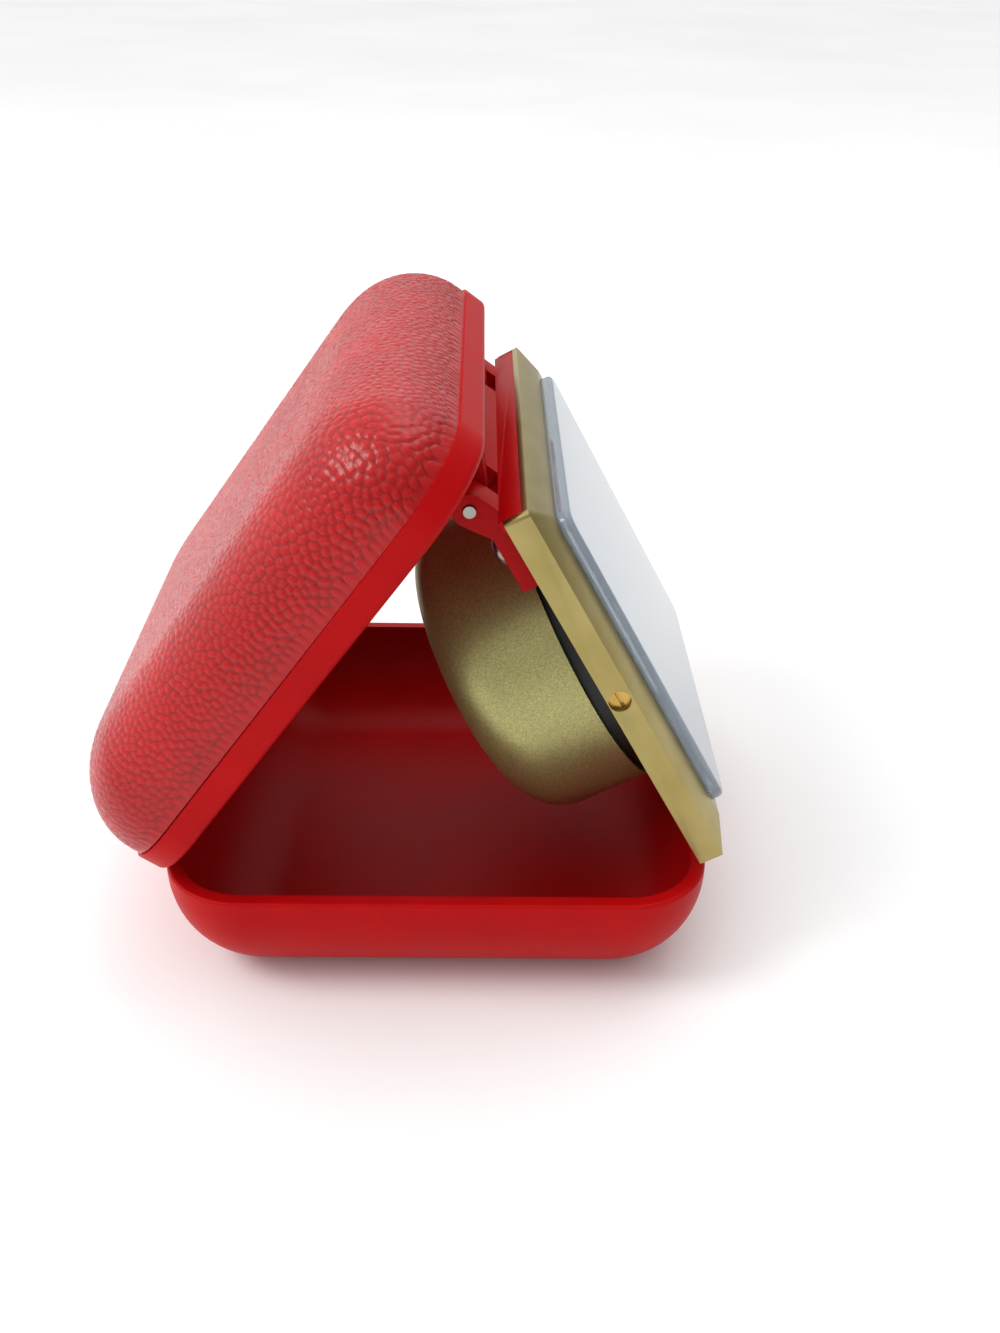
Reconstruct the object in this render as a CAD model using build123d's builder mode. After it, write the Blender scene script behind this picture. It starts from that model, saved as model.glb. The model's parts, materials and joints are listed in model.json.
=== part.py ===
from build123d import *
from math import acos, atan2, cos, degrees, hypot, pi, radians, sin
import os

os.makedirs("parts", exist_ok=True)

# Folding travel alarm clock, standing open.  Lengths are in millimetres and angles in degrees.
# The origin is the middle of the base's underside, +X points to the front edge that the clock leans on,
# +Y runs along both hinges and +Z is up.

# ---- case: a base tray and a rear shell of the same plan, hinged along one edge ----
case_length = 76.0
case_width = 80.0
case_corner = 11.5
case_wall = 2.0
base_depth = 17.2
base_band = 1.2
base_side_run = 13.0
shell_depth = 17.8
shell_band = 4.0
shell_side_run = 12.6
shell_step = 0.4
floor_corner = 3.6
side_sections = 6
rim_gap = 0.3
rabbet_width = 1.0
rabbet_depth = 0.8
base_rim_round = 0.5
shell_rim_round = 1.1

# ---- ramped catch on the base's front rim, just under the clock's lower edge ----
foot_rise = 1.83
foot_inset = 1.38
catch_width = 44.0
catch_depth = 1.5
catch_gap = 0.2

# ---- hinges ----
pin_radius = 0.8
running_gap = 0.05
swing_gap = 0.3
case_knuckle_radius = 1.7
case_knuckle_inner = 13.8
case_knuckle_outer = 22.0
clock_hinge_from_edge = 8.9
clock_hinge_forward = 3.6
eye_radius = 2.2
ear_inner = 16.2
ear_outer = 23.2
bracket_outer = 28.3
pin_overrun = 0.3

# ---- clock unit: the square bezel and what it holds ----
bezel_margin_top = 8.8
bezel_margin_side = 7.1
bezel_side_height = 3.4
bezel_front_height = 5.1
bezel_slope_run = 3.8
bezel_top_corner = 0.8
bezel_bottom_corner = 2.0
bezel_wall = 1.5
pocket_corner = 0.6
bezel_lip_back = 2.6
bezel_opening_inset = 4.6
hinge_above_bezel = 1.5
hinge_behind_bezel = 3.7
window_corner = 2.5
crystal_front = 6.8
crystal_wall = 1.4
crystal_edge_round = 0.9
fit_gap = 0.1
dial_thickness = 0.4
motion_hole_radius = 12.5
side_hole_radius = 1.5
side_hole_height = 1.6
side_screw_radius = 0.5
side_screw_length = 2.5
side_head_thickness = 0.9
driver_slot_width = 0.5
driver_slot_depth = 0.4

# ---- hinge bracket: a leaf behind the bezel and a flange that fills the cut in the bezel's upper side ----
leaf_thickness = 3.0
leaf_top = 1.2
leaf_bottom = 11.5
leaf_can_gap = 0.7
flange_back = 0.6
bracket_screw_side = 25.3
bracket_screw_drop = 6.2
bracket_screw_radius = 0.8
bracket_head_radius = 1.9
bracket_head_height = 1.1
bracket_head_round = 0.9

# ---- movement can ----
can_radius = 24.5
can_drop = 4.5
can_front = -3.6
can_back = -22.2
can_wall = 0.8
can_edge_fillet = 7.7
recess_radius = 15.6
recess_depth = 4.0
frame_ring_radius = 23.6
frame_ring_wall = 1.6

# ---- movement plates, pillars and screws ----
plate_radius = 22.3
plate_thickness = 1.0
plate_spacing = 10.0
pillar_circle = 20.0
pillar_radius = 1.3
pillar_angles = (-25, 35, 125, 240)
small_screw_radius = 0.5
small_head_radius = 1.2
small_head_height = 0.8

# ---- wheels: number of teeth and module of each meshing pair ----
cannon_teeth, minute_teeth, motion_module = 12, 36, 0.25
minute_leaves, hour_teeth, hour_module = 10, 40, 0.24
centre_teeth, third_leaves, centre_module = 64, 8, 0.22
third_teeth, escape_leaves, third_module = 60, 8, 0.20
barrel_teeth, centre_leaves, barrel_module = 60, 10, 0.30
alarm_teeth, alarm_set_teeth, alarm_module = 44, 22, 0.25
escape_teeth = 15
ratchet_teeth = 24
knob_teeth = 24
wheel_thickness = 0.6
pinion_overlap = 0.6

# ---- where the arbors stand, seen from the front: degrees from the lower edge towards +Y ----
minute_direction = 90
third_direction = 255
escape_direction = 180
barrel_direction = 70
alarm_set_direction = 180
alarm_barrel_place = (6.0, -11.0)
balance_place = (-9.0, 8.5)
pallet_place = (-13.0, -2.2)
hammer_place = (16.0, 0.0)
switch_drop = 11.5
can_screw_places = ((9.5, 9.5), (10.5, -8.5), (-9.5, -9.5))

# ---- arbors, hands and controls ----
centre_arbor_radius = 0.6
cannon_radius = 0.95
pipe_wall = 0.4
train_arbor_radius = 0.5
pivot_radius = 0.35
winding_arbor_radius = 1.2
drum_radius = 8.2
drum_wall = 0.5
drum_back = -14.0
drum_front = -10.0
escape_radius = 5.0
escape_root_radius = 3.8
escape_window_circle = 2.25
escape_window_radius = 0.9
balance_radius = 5.8
balance_rim = 0.9
balance_thickness = 0.8
balance_arm = 1.0
balance_hub_radius = 1.1
hand_thickness = 0.25
minute_hand_length = 21.0
hour_hand_length = 14.5
alarm_hand_length = 11.5
minute_hand_half_widths = (0.9, 0.4)
hour_hand_half_widths = (1.1, 0.5)
alarm_hand_half_widths = (0.6, 0.25)
minute_hub_radius = 1.6
hour_hub_radius = 2.1
alarm_hub_radius = 2.5
minute_hand_clock_angle = 54
hour_hand_clock_angle = 304
alarm_hand_clock_angle = 195
key_length = 8.4
key_thickness = 1.2
winding_key_turn = 20
alarm_key_turn = -35
knob_radius = 2.6
control_gap = 0.35
switch_travel = 2.4
switch_stem_length = 2.4
switch_stem_width = 1.8
switch_button_length = 3.0
switch_button_width = 3.2
switch_pad_length = 3.6
switch_pad_width = 3.8
slot_clearance = 0.4


# ---- the open clock is a triangle: base, rear shell and clock unit ----
hinge_z = base_depth + rim_gap / 2
bezel_length = case_length - 2 * bezel_margin_top
bezel_width = case_width - 2 * bezel_margin_side
clock_hinge_along = case_length - clock_hinge_from_edge
foot_x = case_length - foot_inset
foot_z = foot_rise - rim_gap / 2
base_side = hypot(foot_x, foot_z)
shell_side = hypot(clock_hinge_along, clock_hinge_forward)
clock_side = hypot(hinge_above_bezel + bezel_length, hinge_behind_bezel)
apex = acos((base_side**2 + shell_side**2 - clock_side**2) / (2 * base_side * shell_side))
lean = apex + atan2(foot_z, foot_x) + atan2(clock_hinge_forward, clock_hinge_along)

case_hinge = Vector(-case_length / 2, 0, hinge_z)
along_shell = Vector(cos(lean), 0, sin(lean))
out_of_shell = Vector(-sin(lean), 0, cos(lean))
clock_hinge = case_hinge + along_shell * clock_hinge_along - out_of_shell * clock_hinge_forward
clock_foot = case_hinge + Vector(foot_x, 0, foot_z)
foot_line = clock_foot - clock_hinge
tilt = atan2(foot_line.X, -foot_line.Z) - atan2(hinge_behind_bezel, hinge_above_bezel + bezel_length)
down_dial = Vector(sin(tilt), 0, -cos(tilt))
out_of_dial = Vector(cos(tilt), 0, sin(tilt))
dial_centre = clock_foot - down_dial * (bezel_length / 2)

shell_plane = Plane(
    origin=case_hinge + along_shell * (case_length / 2), x_dir=along_shell, z_dir=out_of_shell
)
print("lean of the rear shell", round(degrees(lean), 2), "tilt of the clock", round(degrees(tilt), 2))
print("case hinge", case_hinge, "clock hinge", clock_hinge, "dial centre", dial_centre)
print("dial axis", out_of_dial, "down the dial", down_dial)
print("along the shell", along_shell, "out of the shell", out_of_shell)


def clock_plane(place=(0, 0), height=0):
    """Plane parallel to the dial; place is (down the dial, along Y), height is from the bezel's back."""
    origin = dial_centre + down_dial * place[0] + Vector(0, place[1], 0) + out_of_dial * height
    return Plane(origin=origin, x_dir=down_dial, z_dir=out_of_dial)


def section_plane(corner, across):
    """Plane square to the hinges through a corner point, with x along the given direction."""
    return Plane(origin=corner, x_dir=across, z_dir=(0, -1, 0))


def polar(distance, angle, start=(0, 0)):
    """Point at a distance and direction from a start point."""
    return (start[0] + distance * cos(radians(angle)), start[1] + distance * sin(radians(angle)))


def bearing(start, end):
    """Direction from one point to another, in degrees."""
    return degrees(atan2(end[1] - start[1], end[0] - start[0]))


def mesh_distance(first_teeth, second_teeth, module):
    """Distance between the arbors of two wheels in mesh."""
    return module * (first_teeth + second_teeth) / 2


def mesh_phase(first_teeth, first_phase, second_teeth, direction):
    """Phase that puts a second wheel's gap on the first wheel's tooth; direction is first to second."""
    share = ((direction - first_phase) * first_teeth / 360) % 1
    return direction + 180 + (share - 0.5) * 360 / second_teeth


def tooth_points(teeth, module, phase=0):
    """Outline of a wheel with straight-sided teeth, thin enough to run freely."""
    radius = teeth * module / 2
    root = radius - 1.25 * module
    tip = radius + 0.85 * module
    pitch = 360 / teeth
    points = []
    for tooth in range(teeth):
        middle = phase + tooth * pitch
        for share, reach in ((-0.27, root), (-0.10, tip), (0.10, tip), (0.27, root)):
            points.append(polar(reach, middle + share * pitch))
    return points


def ratchet_points(teeth, root, tip):
    """Outline of a wheel with saw-shaped teeth."""
    points = []
    for tooth in range(teeth):
        points.append(polar(root, tooth * 360 / teeth))
        points.append(polar(tip, (tooth + 0.15) * 360 / teeth))
    return points


def dished_form(plane, length, width, corner, band, depth, run):
    """Solid with the case's outline: a straight band, then sides that curve in to a flat floor."""
    with BuildPart() as form:
        with BuildSketch(plane):
            RectangleRounded(length, width, corner)
        extrude(amount=band)
        for section in range(side_sections + 1):
            turn = radians(90 * section / side_sections)
            inset = run * (1 - cos(turn))
            blend = inset / run
            radius = corner * (1 - blend) + floor_corner * blend
            with BuildSketch(plane.offset(band + (depth - band) * sin(turn))):
                RectangleRounded(length - 2 * inset, width - 2 * inset, radius)
        loft()
    return form.part


# ---- base tray ----
base_rim = Plane(origin=(0, 0, base_depth), x_dir=(1, 0, 0), z_dir=(0, 0, -1))
base_outside = dished_form(
    base_rim, case_length, case_width, case_corner, base_band, base_depth, base_side_run
)
base_inside = dished_form(
    base_rim,
    case_length - 2 * case_wall,
    case_width - 2 * case_wall,
    case_corner - case_wall,
    base_band,
    base_depth - case_wall,
    base_side_run,
)
base_knuckle_spans = (
    (case_knuckle_inner + swing_gap / 2, case_knuckle_outer),
    (-case_knuckle_outer, -case_knuckle_inner - swing_gap / 2),
)
shell_knuckle_span = (-case_knuckle_inner + swing_gap / 2, case_knuckle_inner - swing_gap / 2)
hinge_section = section_plane(case_hinge, along_shell)

with BuildPart() as base_tray:
    add(base_outside)
    fillet(base_tray.faces().sort_by(Axis.Z)[-1].edges(), radius=base_rim_round)
    add(base_inside, mode=Mode.SUBTRACT)
    with BuildSketch(hinge_section.offset(-case_knuckle_inner - swing_gap / 2)):
        Circle(case_knuckle_radius + swing_gap)
    extrude(amount=2 * case_knuckle_inner + swing_gap, mode=Mode.SUBTRACT)
    for low, high in base_knuckle_spans:
        with BuildSketch(hinge_section.offset(-high)):
            Circle(case_knuckle_radius)
        extrude(amount=high - low)
    with BuildSketch(hinge_section.offset(-case_knuckle_outer)):
        Circle(pin_radius)
    extrude(amount=2 * case_knuckle_outer, mode=Mode.SUBTRACT)
base_tray.part.label = "base_tray"
export_step(base_tray.part, "parts/base_tray.step")

# the ramp's top stays under the paths of the bezel's lower front edge and of the can's rounded
# back edge, whichever reaches farther from the clock's hinge as the clock swings past
bezel_reach = hypot(hinge_above_bezel + bezel_length, hinge_behind_bezel + bezel_side_height)
can_round_down = hinge_above_bezel + bezel_length / 2 + can_drop + can_radius - can_edge_fillet
can_round_behind = -(can_back + can_edge_fillet) - hinge_behind_bezel
can_reach = hypot(can_round_down, can_round_behind) + can_edge_fillet
swing_radius = max(bezel_reach, can_reach) + catch_gap
catch_outer = case_length / 2 - foot_inset + catch_depth / 2
catch_inner = catch_outer - catch_depth
outer_top = clock_hinge.Z - (swing_radius**2 - (catch_outer - clock_hinge.X) ** 2) ** 0.5
inner_top = clock_hinge.Z - (swing_radius**2 - (catch_inner - clock_hinge.X) ** 2) ** 0.5

with BuildPart() as front_catch:
    with BuildSketch(Plane.XZ.offset(-catch_width / 2)):
        Polygon(
            (catch_inner, base_depth),
            (catch_outer, base_depth),
            (catch_outer, outer_top),
            (catch_inner, inner_top),
            align=None,
        )
    extrude(amount=catch_width)
front_catch.part.label = "front_catch"
export_step(front_catch.part, "parts/front_catch.step")

with BuildPart() as case_hinge_pin:
    with BuildSketch(hinge_section.offset(-case_knuckle_outer)):
        Circle(pin_radius)
    extrude(amount=2 * case_knuckle_outer)
case_hinge_pin.part.label = "case_hinge_pin"
export_step(case_hinge_pin.part, "parts/case_hinge_pin.step")

# ---- rear shell: a smooth rim frame and the grained cover that plugs into it ----
shell_wall = shell_step + case_wall
shell_start = rim_gap / 2
cover_start = shell_start + shell_band
cover_outside = dished_form(
    shell_plane.offset(cover_start),
    case_length - 2 * shell_step,
    case_width - 2 * shell_step,
    case_corner - shell_step,
    base_band,
    shell_depth - cover_start,
    shell_side_run,
)
cover_inside = dished_form(
    shell_plane.offset(cover_start),
    case_length - 2 * shell_wall,
    case_width - 2 * shell_wall,
    case_corner - shell_wall,
    base_band,
    shell_depth - cover_start - case_wall,
    shell_side_run,
)
tongue_inset = shell_wall - rabbet_width

with BuildPart() as rear_shell_cover:
    add(cover_outside)
    with BuildSketch(shell_plane.offset(cover_start - rabbet_depth)):
        RectangleRounded(
            case_length - 2 * tongue_inset, case_width - 2 * tongue_inset, case_corner - tongue_inset
        )
        RectangleRounded(
            case_length - 2 * shell_wall,
            case_width - 2 * shell_wall,
            case_corner - shell_wall,
            mode=Mode.SUBTRACT,
        )
    extrude(amount=rabbet_depth)
    add(cover_inside, mode=Mode.SUBTRACT)
rear_shell_cover.part.label = "rear_shell_cover"
export_step(rear_shell_cover.part, "parts/rear_shell_cover.step")

ear_section = section_plane(case_hinge, along_shell)
ear_root = case_length - shell_wall
ear_root_length = 3.0
ear_rise = shell_start + shell_band - rabbet_depth

with BuildPart() as rear_shell_rim:
    with BuildSketch(shell_plane.offset(shell_start)):
        RectangleRounded(case_length, case_width, case_corner)
    extrude(amount=shell_band)
    opening_side = rear_shell_rim.faces().sort_by(Axis(case_hinge, out_of_shell))[0]
    fillet(opening_side.edges(), radius=shell_rim_round)
    with BuildSketch(shell_plane.offset(shell_start)):
        RectangleRounded(
            case_length - 2 * shell_wall, case_width - 2 * shell_wall, case_corner - shell_wall
        )
    extrude(amount=shell_band, mode=Mode.SUBTRACT)
    with BuildSketch(shell_plane.offset(cover_start - rabbet_depth)):
        RectangleRounded(
            case_length - 2 * tongue_inset, case_width - 2 * tongue_inset, case_corner - tongue_inset
        )
    extrude(amount=rabbet_depth, mode=Mode.SUBTRACT)
    with BuildSketch(shell_plane.offset(shell_start)):
        with Locations((case_length / 2 - foot_inset, 0)):
            Rectangle(catch_depth + 2 * swing_gap, catch_width + 2 * swing_gap)
    extrude(amount=foot_rise + swing_gap, mode=Mode.SUBTRACT)
    for low, high in base_knuckle_spans:
        with BuildSketch(ear_section.offset(-high - swing_gap)):
            Circle(case_knuckle_radius + swing_gap)
        extrude(amount=high - low + 2 * swing_gap, mode=Mode.SUBTRACT)
    with BuildSketch(ear_section.offset(-shell_knuckle_span[1])):
        Circle(case_knuckle_radius)
    extrude(amount=shell_knuckle_span[1] - shell_knuckle_span[0])
    with BuildSketch(ear_section.offset(-case_knuckle_inner)):
        Circle(pin_radius + running_gap)
    extrude(amount=2 * case_knuckle_inner, mode=Mode.SUBTRACT)
    for high in (ear_outer, -ear_inner):
        with BuildSketch(ear_section.offset(-high)):
            with Locations((clock_hinge_along, -clock_hinge_forward)):
                Circle(eye_radius)
            with Locations((ear_root - ear_root_length / 3, (shell_start + ear_rise) / 2)):
                Rectangle(ear_root_length, ear_rise - shell_start)
            make_hull()
        extrude(amount=ear_outer - ear_inner)
        with BuildSketch(ear_section.offset(-high)):
            with Locations((clock_hinge_along, -clock_hinge_forward)):
                Circle(pin_radius)
        extrude(amount=ear_outer - ear_inner, mode=Mode.SUBTRACT)
rear_shell_rim.part.label = "rear_shell_rim"
export_step(rear_shell_rim.part, "parts/rear_shell_rim.step")

clock_hinge_section = section_plane(clock_hinge, down_dial)

with BuildPart() as clock_hinge_pin:
    with BuildSketch(clock_hinge_section.offset(-bracket_outer - pin_overrun)):
        Circle(pin_radius)
    extrude(amount=2 * (bracket_outer + pin_overrun))
clock_hinge_pin.part.label = "clock_hinge_pin"
export_step(clock_hinge_pin.part, "parts/clock_hinge_pin.step")

# ---- hinge bracket on the clock's back ----
leaf_middle = (leaf_top + leaf_bottom) / 2 - bezel_length / 2
upper_wall_middle = (bezel_wall - bezel_length) / 2
flange_span = bezel_width - 2 * bezel_top_corner
knuckle_root_length = 2.0
knuckle_root_middle = hinge_above_bezel + leaf_top + knuckle_root_length / 2
bracket_spans = (
    (-bracket_outer, -ear_outer - swing_gap / 2),
    (-ear_inner + swing_gap / 2, ear_inner - swing_gap / 2),
    (ear_outer + swing_gap / 2, bracket_outer),
)
bracket_screw_places = (
    (bracket_screw_drop - bezel_length / 2, bracket_screw_side),
    (bracket_screw_drop - bezel_length / 2, -bracket_screw_side),
)

with BuildPart() as hinge_bracket:
    with BuildSketch(clock_plane((leaf_middle, 0), -leaf_thickness)):
        Rectangle(leaf_bottom - leaf_top, 2 * bracket_outer)
    extrude(amount=leaf_thickness)
    with BuildSketch(clock_plane((can_drop, 0), -leaf_thickness)):
        Circle(can_radius + leaf_can_gap)
    extrude(amount=leaf_thickness, mode=Mode.SUBTRACT)
    with BuildSketch(clock_plane((upper_wall_middle, 0), -flange_back)):
        Rectangle(bezel_wall - 2 * running_gap, flange_span - 2 * running_gap)
    extrude(amount=flange_back + bezel_lip_back - running_gap)
    for low, high in bracket_spans:
        with BuildSketch(clock_hinge_section.offset(-high)):
            Circle(eye_radius)
            with Locations((knuckle_root_middle, hinge_behind_bezel - leaf_thickness / 2)):
                Rectangle(knuckle_root_length, leaf_thickness)
            make_hull()
        extrude(amount=high - low)
    with BuildSketch(clock_hinge_section.offset(-bracket_outer)):
        Circle(pin_radius + running_gap)
    extrude(amount=2 * bracket_outer, mode=Mode.SUBTRACT)
    with BuildSketch(clock_plane((0, 0), -leaf_thickness)):
        with Locations(*bracket_screw_places):
            Circle(bracket_screw_radius)
    extrude(amount=leaf_thickness, mode=Mode.SUBTRACT)
hinge_bracket.part.label = "hinge_bracket"
export_step(hinge_bracket.part, "parts/hinge_bracket.step")

with BuildPart() as bracket_screws:
    with BuildSketch(clock_plane((0, 0), -leaf_thickness)):
        with Locations(*bracket_screw_places):
            Circle(bracket_screw_radius)
    extrude(amount=leaf_thickness + bezel_wall)
    with BuildSketch(clock_plane((0, 0), -leaf_thickness)):
        with Locations(*bracket_screw_places):
            Circle(bracket_head_radius)
    extrude(amount=-bracket_head_height)
    head_rims = bracket_screws.edges().group_by(Axis(dial_centre, out_of_dial))[0]
    fillet(head_rims, radius=bracket_head_round)
bracket_screws.part.label = "bracket_screws"
export_step(bracket_screws.part, "parts/bracket_screws.step")

# ---- bezel, side screws, crystal, dial and the black frame behind the dial ----
pocket_length = bezel_length - 2 * bezel_wall
pocket_width = bezel_width - 2 * bezel_wall
window_length = bezel_length - 2 * bezel_opening_inset
window_width = bezel_width - 2 * bezel_opening_inset
side_plane = Plane(
    origin=dial_centre + out_of_dial * side_hole_height, x_dir=down_dial, z_dir=(0, -1, 0)
)


def bezel_outline(height, inset):
    """Bezel's outline at a height, with tighter corners beside the hinge than at the foot."""
    with BuildSketch(clock_plane((0, 0), height)) as outline:
        Rectangle(bezel_length - 2 * inset, bezel_width - 2 * inset)
        corners = outline.vertices().group_by(Axis.X)
        fillet(corners[0], radius=bezel_top_corner)
        fillet(corners[-1], radius=bezel_bottom_corner)
    return outline.sketch


bezel_back_outline = bezel_outline(0, 0)
bezel_ridge_outline = bezel_outline(bezel_side_height, 0)
bezel_slope_outline = bezel_outline(bezel_front_height, bezel_slope_run)

with BuildPart() as bezel:
    extrude(bezel_back_outline, amount=bezel_side_height, dir=out_of_dial)
    loft(sections=[bezel_ridge_outline.faces()[0], bezel_slope_outline.faces()[0]])
    with BuildSketch(clock_plane()):
        RectangleRounded(window_length, window_width, window_corner)
    extrude(amount=bezel_front_height, mode=Mode.SUBTRACT)
    with BuildSketch(clock_plane()):
        RectangleRounded(pocket_length, pocket_width, pocket_corner)
    extrude(amount=bezel_lip_back, mode=Mode.SUBTRACT)
    with BuildSketch(clock_plane((upper_wall_middle, 0))):
        Rectangle(bezel_wall, flange_span)
    extrude(amount=bezel_lip_back, mode=Mode.SUBTRACT)
    with BuildSketch(side_plane):
        Circle(side_hole_radius)
    extrude(amount=bezel_width, both=True, mode=Mode.SUBTRACT)
bezel.part.label = "bezel"
export_step(bezel.part, "parts/bezel.step")

screw_seat = pocket_width / 2 - fit_gap
with BuildPart() as bezel_side_screws:
    for side in (1, -1):
        with BuildSketch(side_plane.offset(side * screw_seat)):
            Circle(side_hole_radius - running_gap)
        extrude(amount=side * side_head_thickness)
        with BuildSketch(side_plane.offset(side * (screw_seat - side_screw_length))):
            Circle(side_screw_radius)
        extrude(amount=side * side_screw_length)
        with BuildSketch(side_plane.offset(side * (screw_seat + side_head_thickness))):
            Rectangle(2 * side_hole_radius, driver_slot_width)
        extrude(amount=-side * driver_slot_depth, mode=Mode.SUBTRACT)
bezel_side_screws.part.label = "bezel_side_screws"
export_step(bezel_side_screws.part, "parts/bezel_side_screws.step")

crystal_length = window_length - 2 * fit_gap
crystal_width = window_width - 2 * fit_gap
crystal_corner = window_corner - fit_gap

with BuildPart() as crystal:
    with BuildSketch(clock_plane((0, 0), bezel_lip_back)):
        RectangleRounded(crystal_length, crystal_width, crystal_corner)
    extrude(amount=crystal_front - bezel_lip_back)
    front_edges = crystal.faces().sort_by(Axis(dial_centre, out_of_dial))[-1].edges()
    fillet(front_edges, radius=crystal_edge_round)
    with BuildSketch(clock_plane((0, 0), bezel_lip_back)):
        RectangleRounded(
            crystal_length - 2 * crystal_wall,
            crystal_width - 2 * crystal_wall,
            crystal_corner - crystal_wall,
        )
    extrude(amount=crystal_front - bezel_lip_back - crystal_wall, mode=Mode.SUBTRACT)
crystal.part.label = "crystal"
export_step(crystal.part, "parts/crystal.step")

dial_back = bezel_lip_back - dial_thickness
minute_place = polar(mesh_distance(cannon_teeth, minute_teeth, motion_module), minute_direction)
alarm_set_place = polar(mesh_distance(alarm_teeth, alarm_set_teeth, alarm_module), alarm_set_direction)
cannon_bore = centre_arbor_radius
hour_pipe_bore = cannon_radius + running_gap
hour_pipe_radius = hour_pipe_bore + pipe_wall
alarm_pipe_bore = hour_pipe_radius + running_gap
alarm_pipe_radius = alarm_pipe_bore + pipe_wall

with BuildPart() as dial:
    with BuildSketch(clock_plane((0, 0), dial_back)):
        RectangleRounded(pocket_length - 2 * fit_gap, pocket_width - 2 * fit_gap, pocket_corner)
        Circle(alarm_pipe_radius + swing_gap, mode=Mode.SUBTRACT)
    extrude(amount=dial_thickness)
dial.part.label = "dial"
export_step(dial.part, "parts/dial.step")

with BuildPart() as dial_frame:
    with BuildSketch(clock_plane()):
        RectangleRounded(pocket_length - 2 * fit_gap, pocket_width - 2 * fit_gap, pocket_corner)
        Circle(motion_hole_radius, mode=Mode.SUBTRACT)
    extrude(amount=dial_back)
    with BuildSketch(clock_plane((can_drop, 0), can_front)):
        Circle(frame_ring_radius)
        Circle(frame_ring_radius - frame_ring_wall, mode=Mode.SUBTRACT)
    extrude(amount=-can_front)
    with BuildSketch(clock_plane()):
        with Locations(*bracket_screw_places):
            Circle(bracket_screw_radius)
    extrude(amount=bezel_wall, mode=Mode.SUBTRACT)
    for side in (1, -1):
        with BuildSketch(side_plane.offset(side * (screw_seat - side_screw_length))):
            Circle(side_screw_radius)
        extrude(amount=side * side_screw_length, mode=Mode.SUBTRACT)
dial_frame.part.label = "dial_frame"
export_step(dial_frame.part, "parts/dial_frame.step")

# ---- movement can with a recess in its back for the keys and knobs ----
can_place = (can_drop, 0)
recess_floor = can_back + recess_depth
inner_floor = recess_floor + can_wall
dial_axis = Axis(dial_centre, out_of_dial)
barrel_place = polar(mesh_distance(barrel_teeth, centre_leaves, barrel_module), barrel_direction)
switch_place = (can_drop + switch_drop, 0)
can_screw_spots = [(can_drop + down, across) for down, across in can_screw_places]
control_holes = (
    ((0, 0), centre_arbor_radius),
    (alarm_set_place, train_arbor_radius),
    (barrel_place, winding_arbor_radius),
    (alarm_barrel_place, winding_arbor_radius),
)

with BuildPart() as can_core:
    with BuildSketch(clock_plane(can_place, can_back + can_wall)):
        Circle(can_radius - can_wall)
    extrude(amount=can_front - can_back - can_wall)
    fillet(can_core.edges().sort_by(dial_axis)[0], radius=can_edge_fillet - can_wall)
    with BuildSketch(clock_plane(can_place, can_back)):
        Circle(recess_radius + can_wall)
    extrude(amount=recess_depth + can_wall, mode=Mode.SUBTRACT)

with BuildPart() as movement_can:
    with BuildSketch(clock_plane(can_place, can_back)):
        Circle(can_radius)
    extrude(amount=can_front - can_back)
    fillet(movement_can.edges().sort_by(dial_axis)[0], radius=can_edge_fillet)
    with BuildSketch(clock_plane(can_place, can_back)):
        Circle(recess_radius)
    extrude(amount=recess_depth, mode=Mode.SUBTRACT)
    add(can_core.part, mode=Mode.SUBTRACT)
    for place, radius in control_holes:
        with BuildSketch(clock_plane(place, recess_floor)):
            Circle(radius + running_gap)
        extrude(amount=can_wall, mode=Mode.SUBTRACT)
    for place in can_screw_spots:
        with BuildSketch(clock_plane(place, recess_floor)):
            Circle(small_screw_radius)
        extrude(amount=can_wall, mode=Mode.SUBTRACT)
    with BuildSketch(clock_plane((switch_place[0], switch_travel / 2), recess_floor)):
        Rectangle(
            switch_stem_width + slot_clearance, switch_stem_length + switch_travel + slot_clearance
        )
    extrude(amount=can_wall, mode=Mode.SUBTRACT)
movement_can.part.label = "movement_can"
export_step(movement_can.part, "parts/movement_can.step")

minute_stud_length = 2.8
front_plate_back = can_front - plate_thickness
rear_plate_front = front_plate_back - plate_spacing
rear_plate_back = rear_plate_front - plate_thickness

with BuildPart() as can_screws:
    with BuildSketch(clock_plane((0, 0), recess_floor)):
        with Locations(*can_screw_spots):
            Circle(small_head_radius)
    extrude(amount=-small_head_height)
    with BuildSketch(clock_plane((0, 0), recess_floor)):
        with Locations(*can_screw_spots):
            Circle(small_screw_radius)
    extrude(amount=rear_plate_front - recess_floor)
can_screws.part.label = "can_screws"
export_step(can_screws.part, "parts/can_screws.step")

# ---- movement plates, pillars and plate screws ----
third_place = polar(mesh_distance(centre_teeth, third_leaves, centre_module), third_direction)
escape_place = polar(
    mesh_distance(third_teeth, escape_leaves, third_module), escape_direction, third_place
)
pillar_places = [polar(pillar_circle, angle, can_place) for angle in pillar_angles]
pivot_places = (third_place, escape_place, balance_place, pallet_place, hammer_place)
plate_holes = [(place, radius + running_gap) for place, radius in control_holes]
plate_holes += [(place, pivot_radius + running_gap) for place in pivot_places]

with BuildPart() as front_plate:
    with BuildSketch(clock_plane(can_place, front_plate_back)):
        Circle(plate_radius)
    extrude(amount=plate_thickness)
    for place, radius in plate_holes:
        with BuildSketch(clock_plane(place, front_plate_back)):
            Circle(radius)
        extrude(amount=plate_thickness, mode=Mode.SUBTRACT)
    with BuildSketch(clock_plane(minute_place, can_front)):
        Circle(train_arbor_radius)
    extrude(amount=minute_stud_length)
front_plate.part.label = "front_plate"
export_step(front_plate.part, "parts/front_plate.step")

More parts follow.
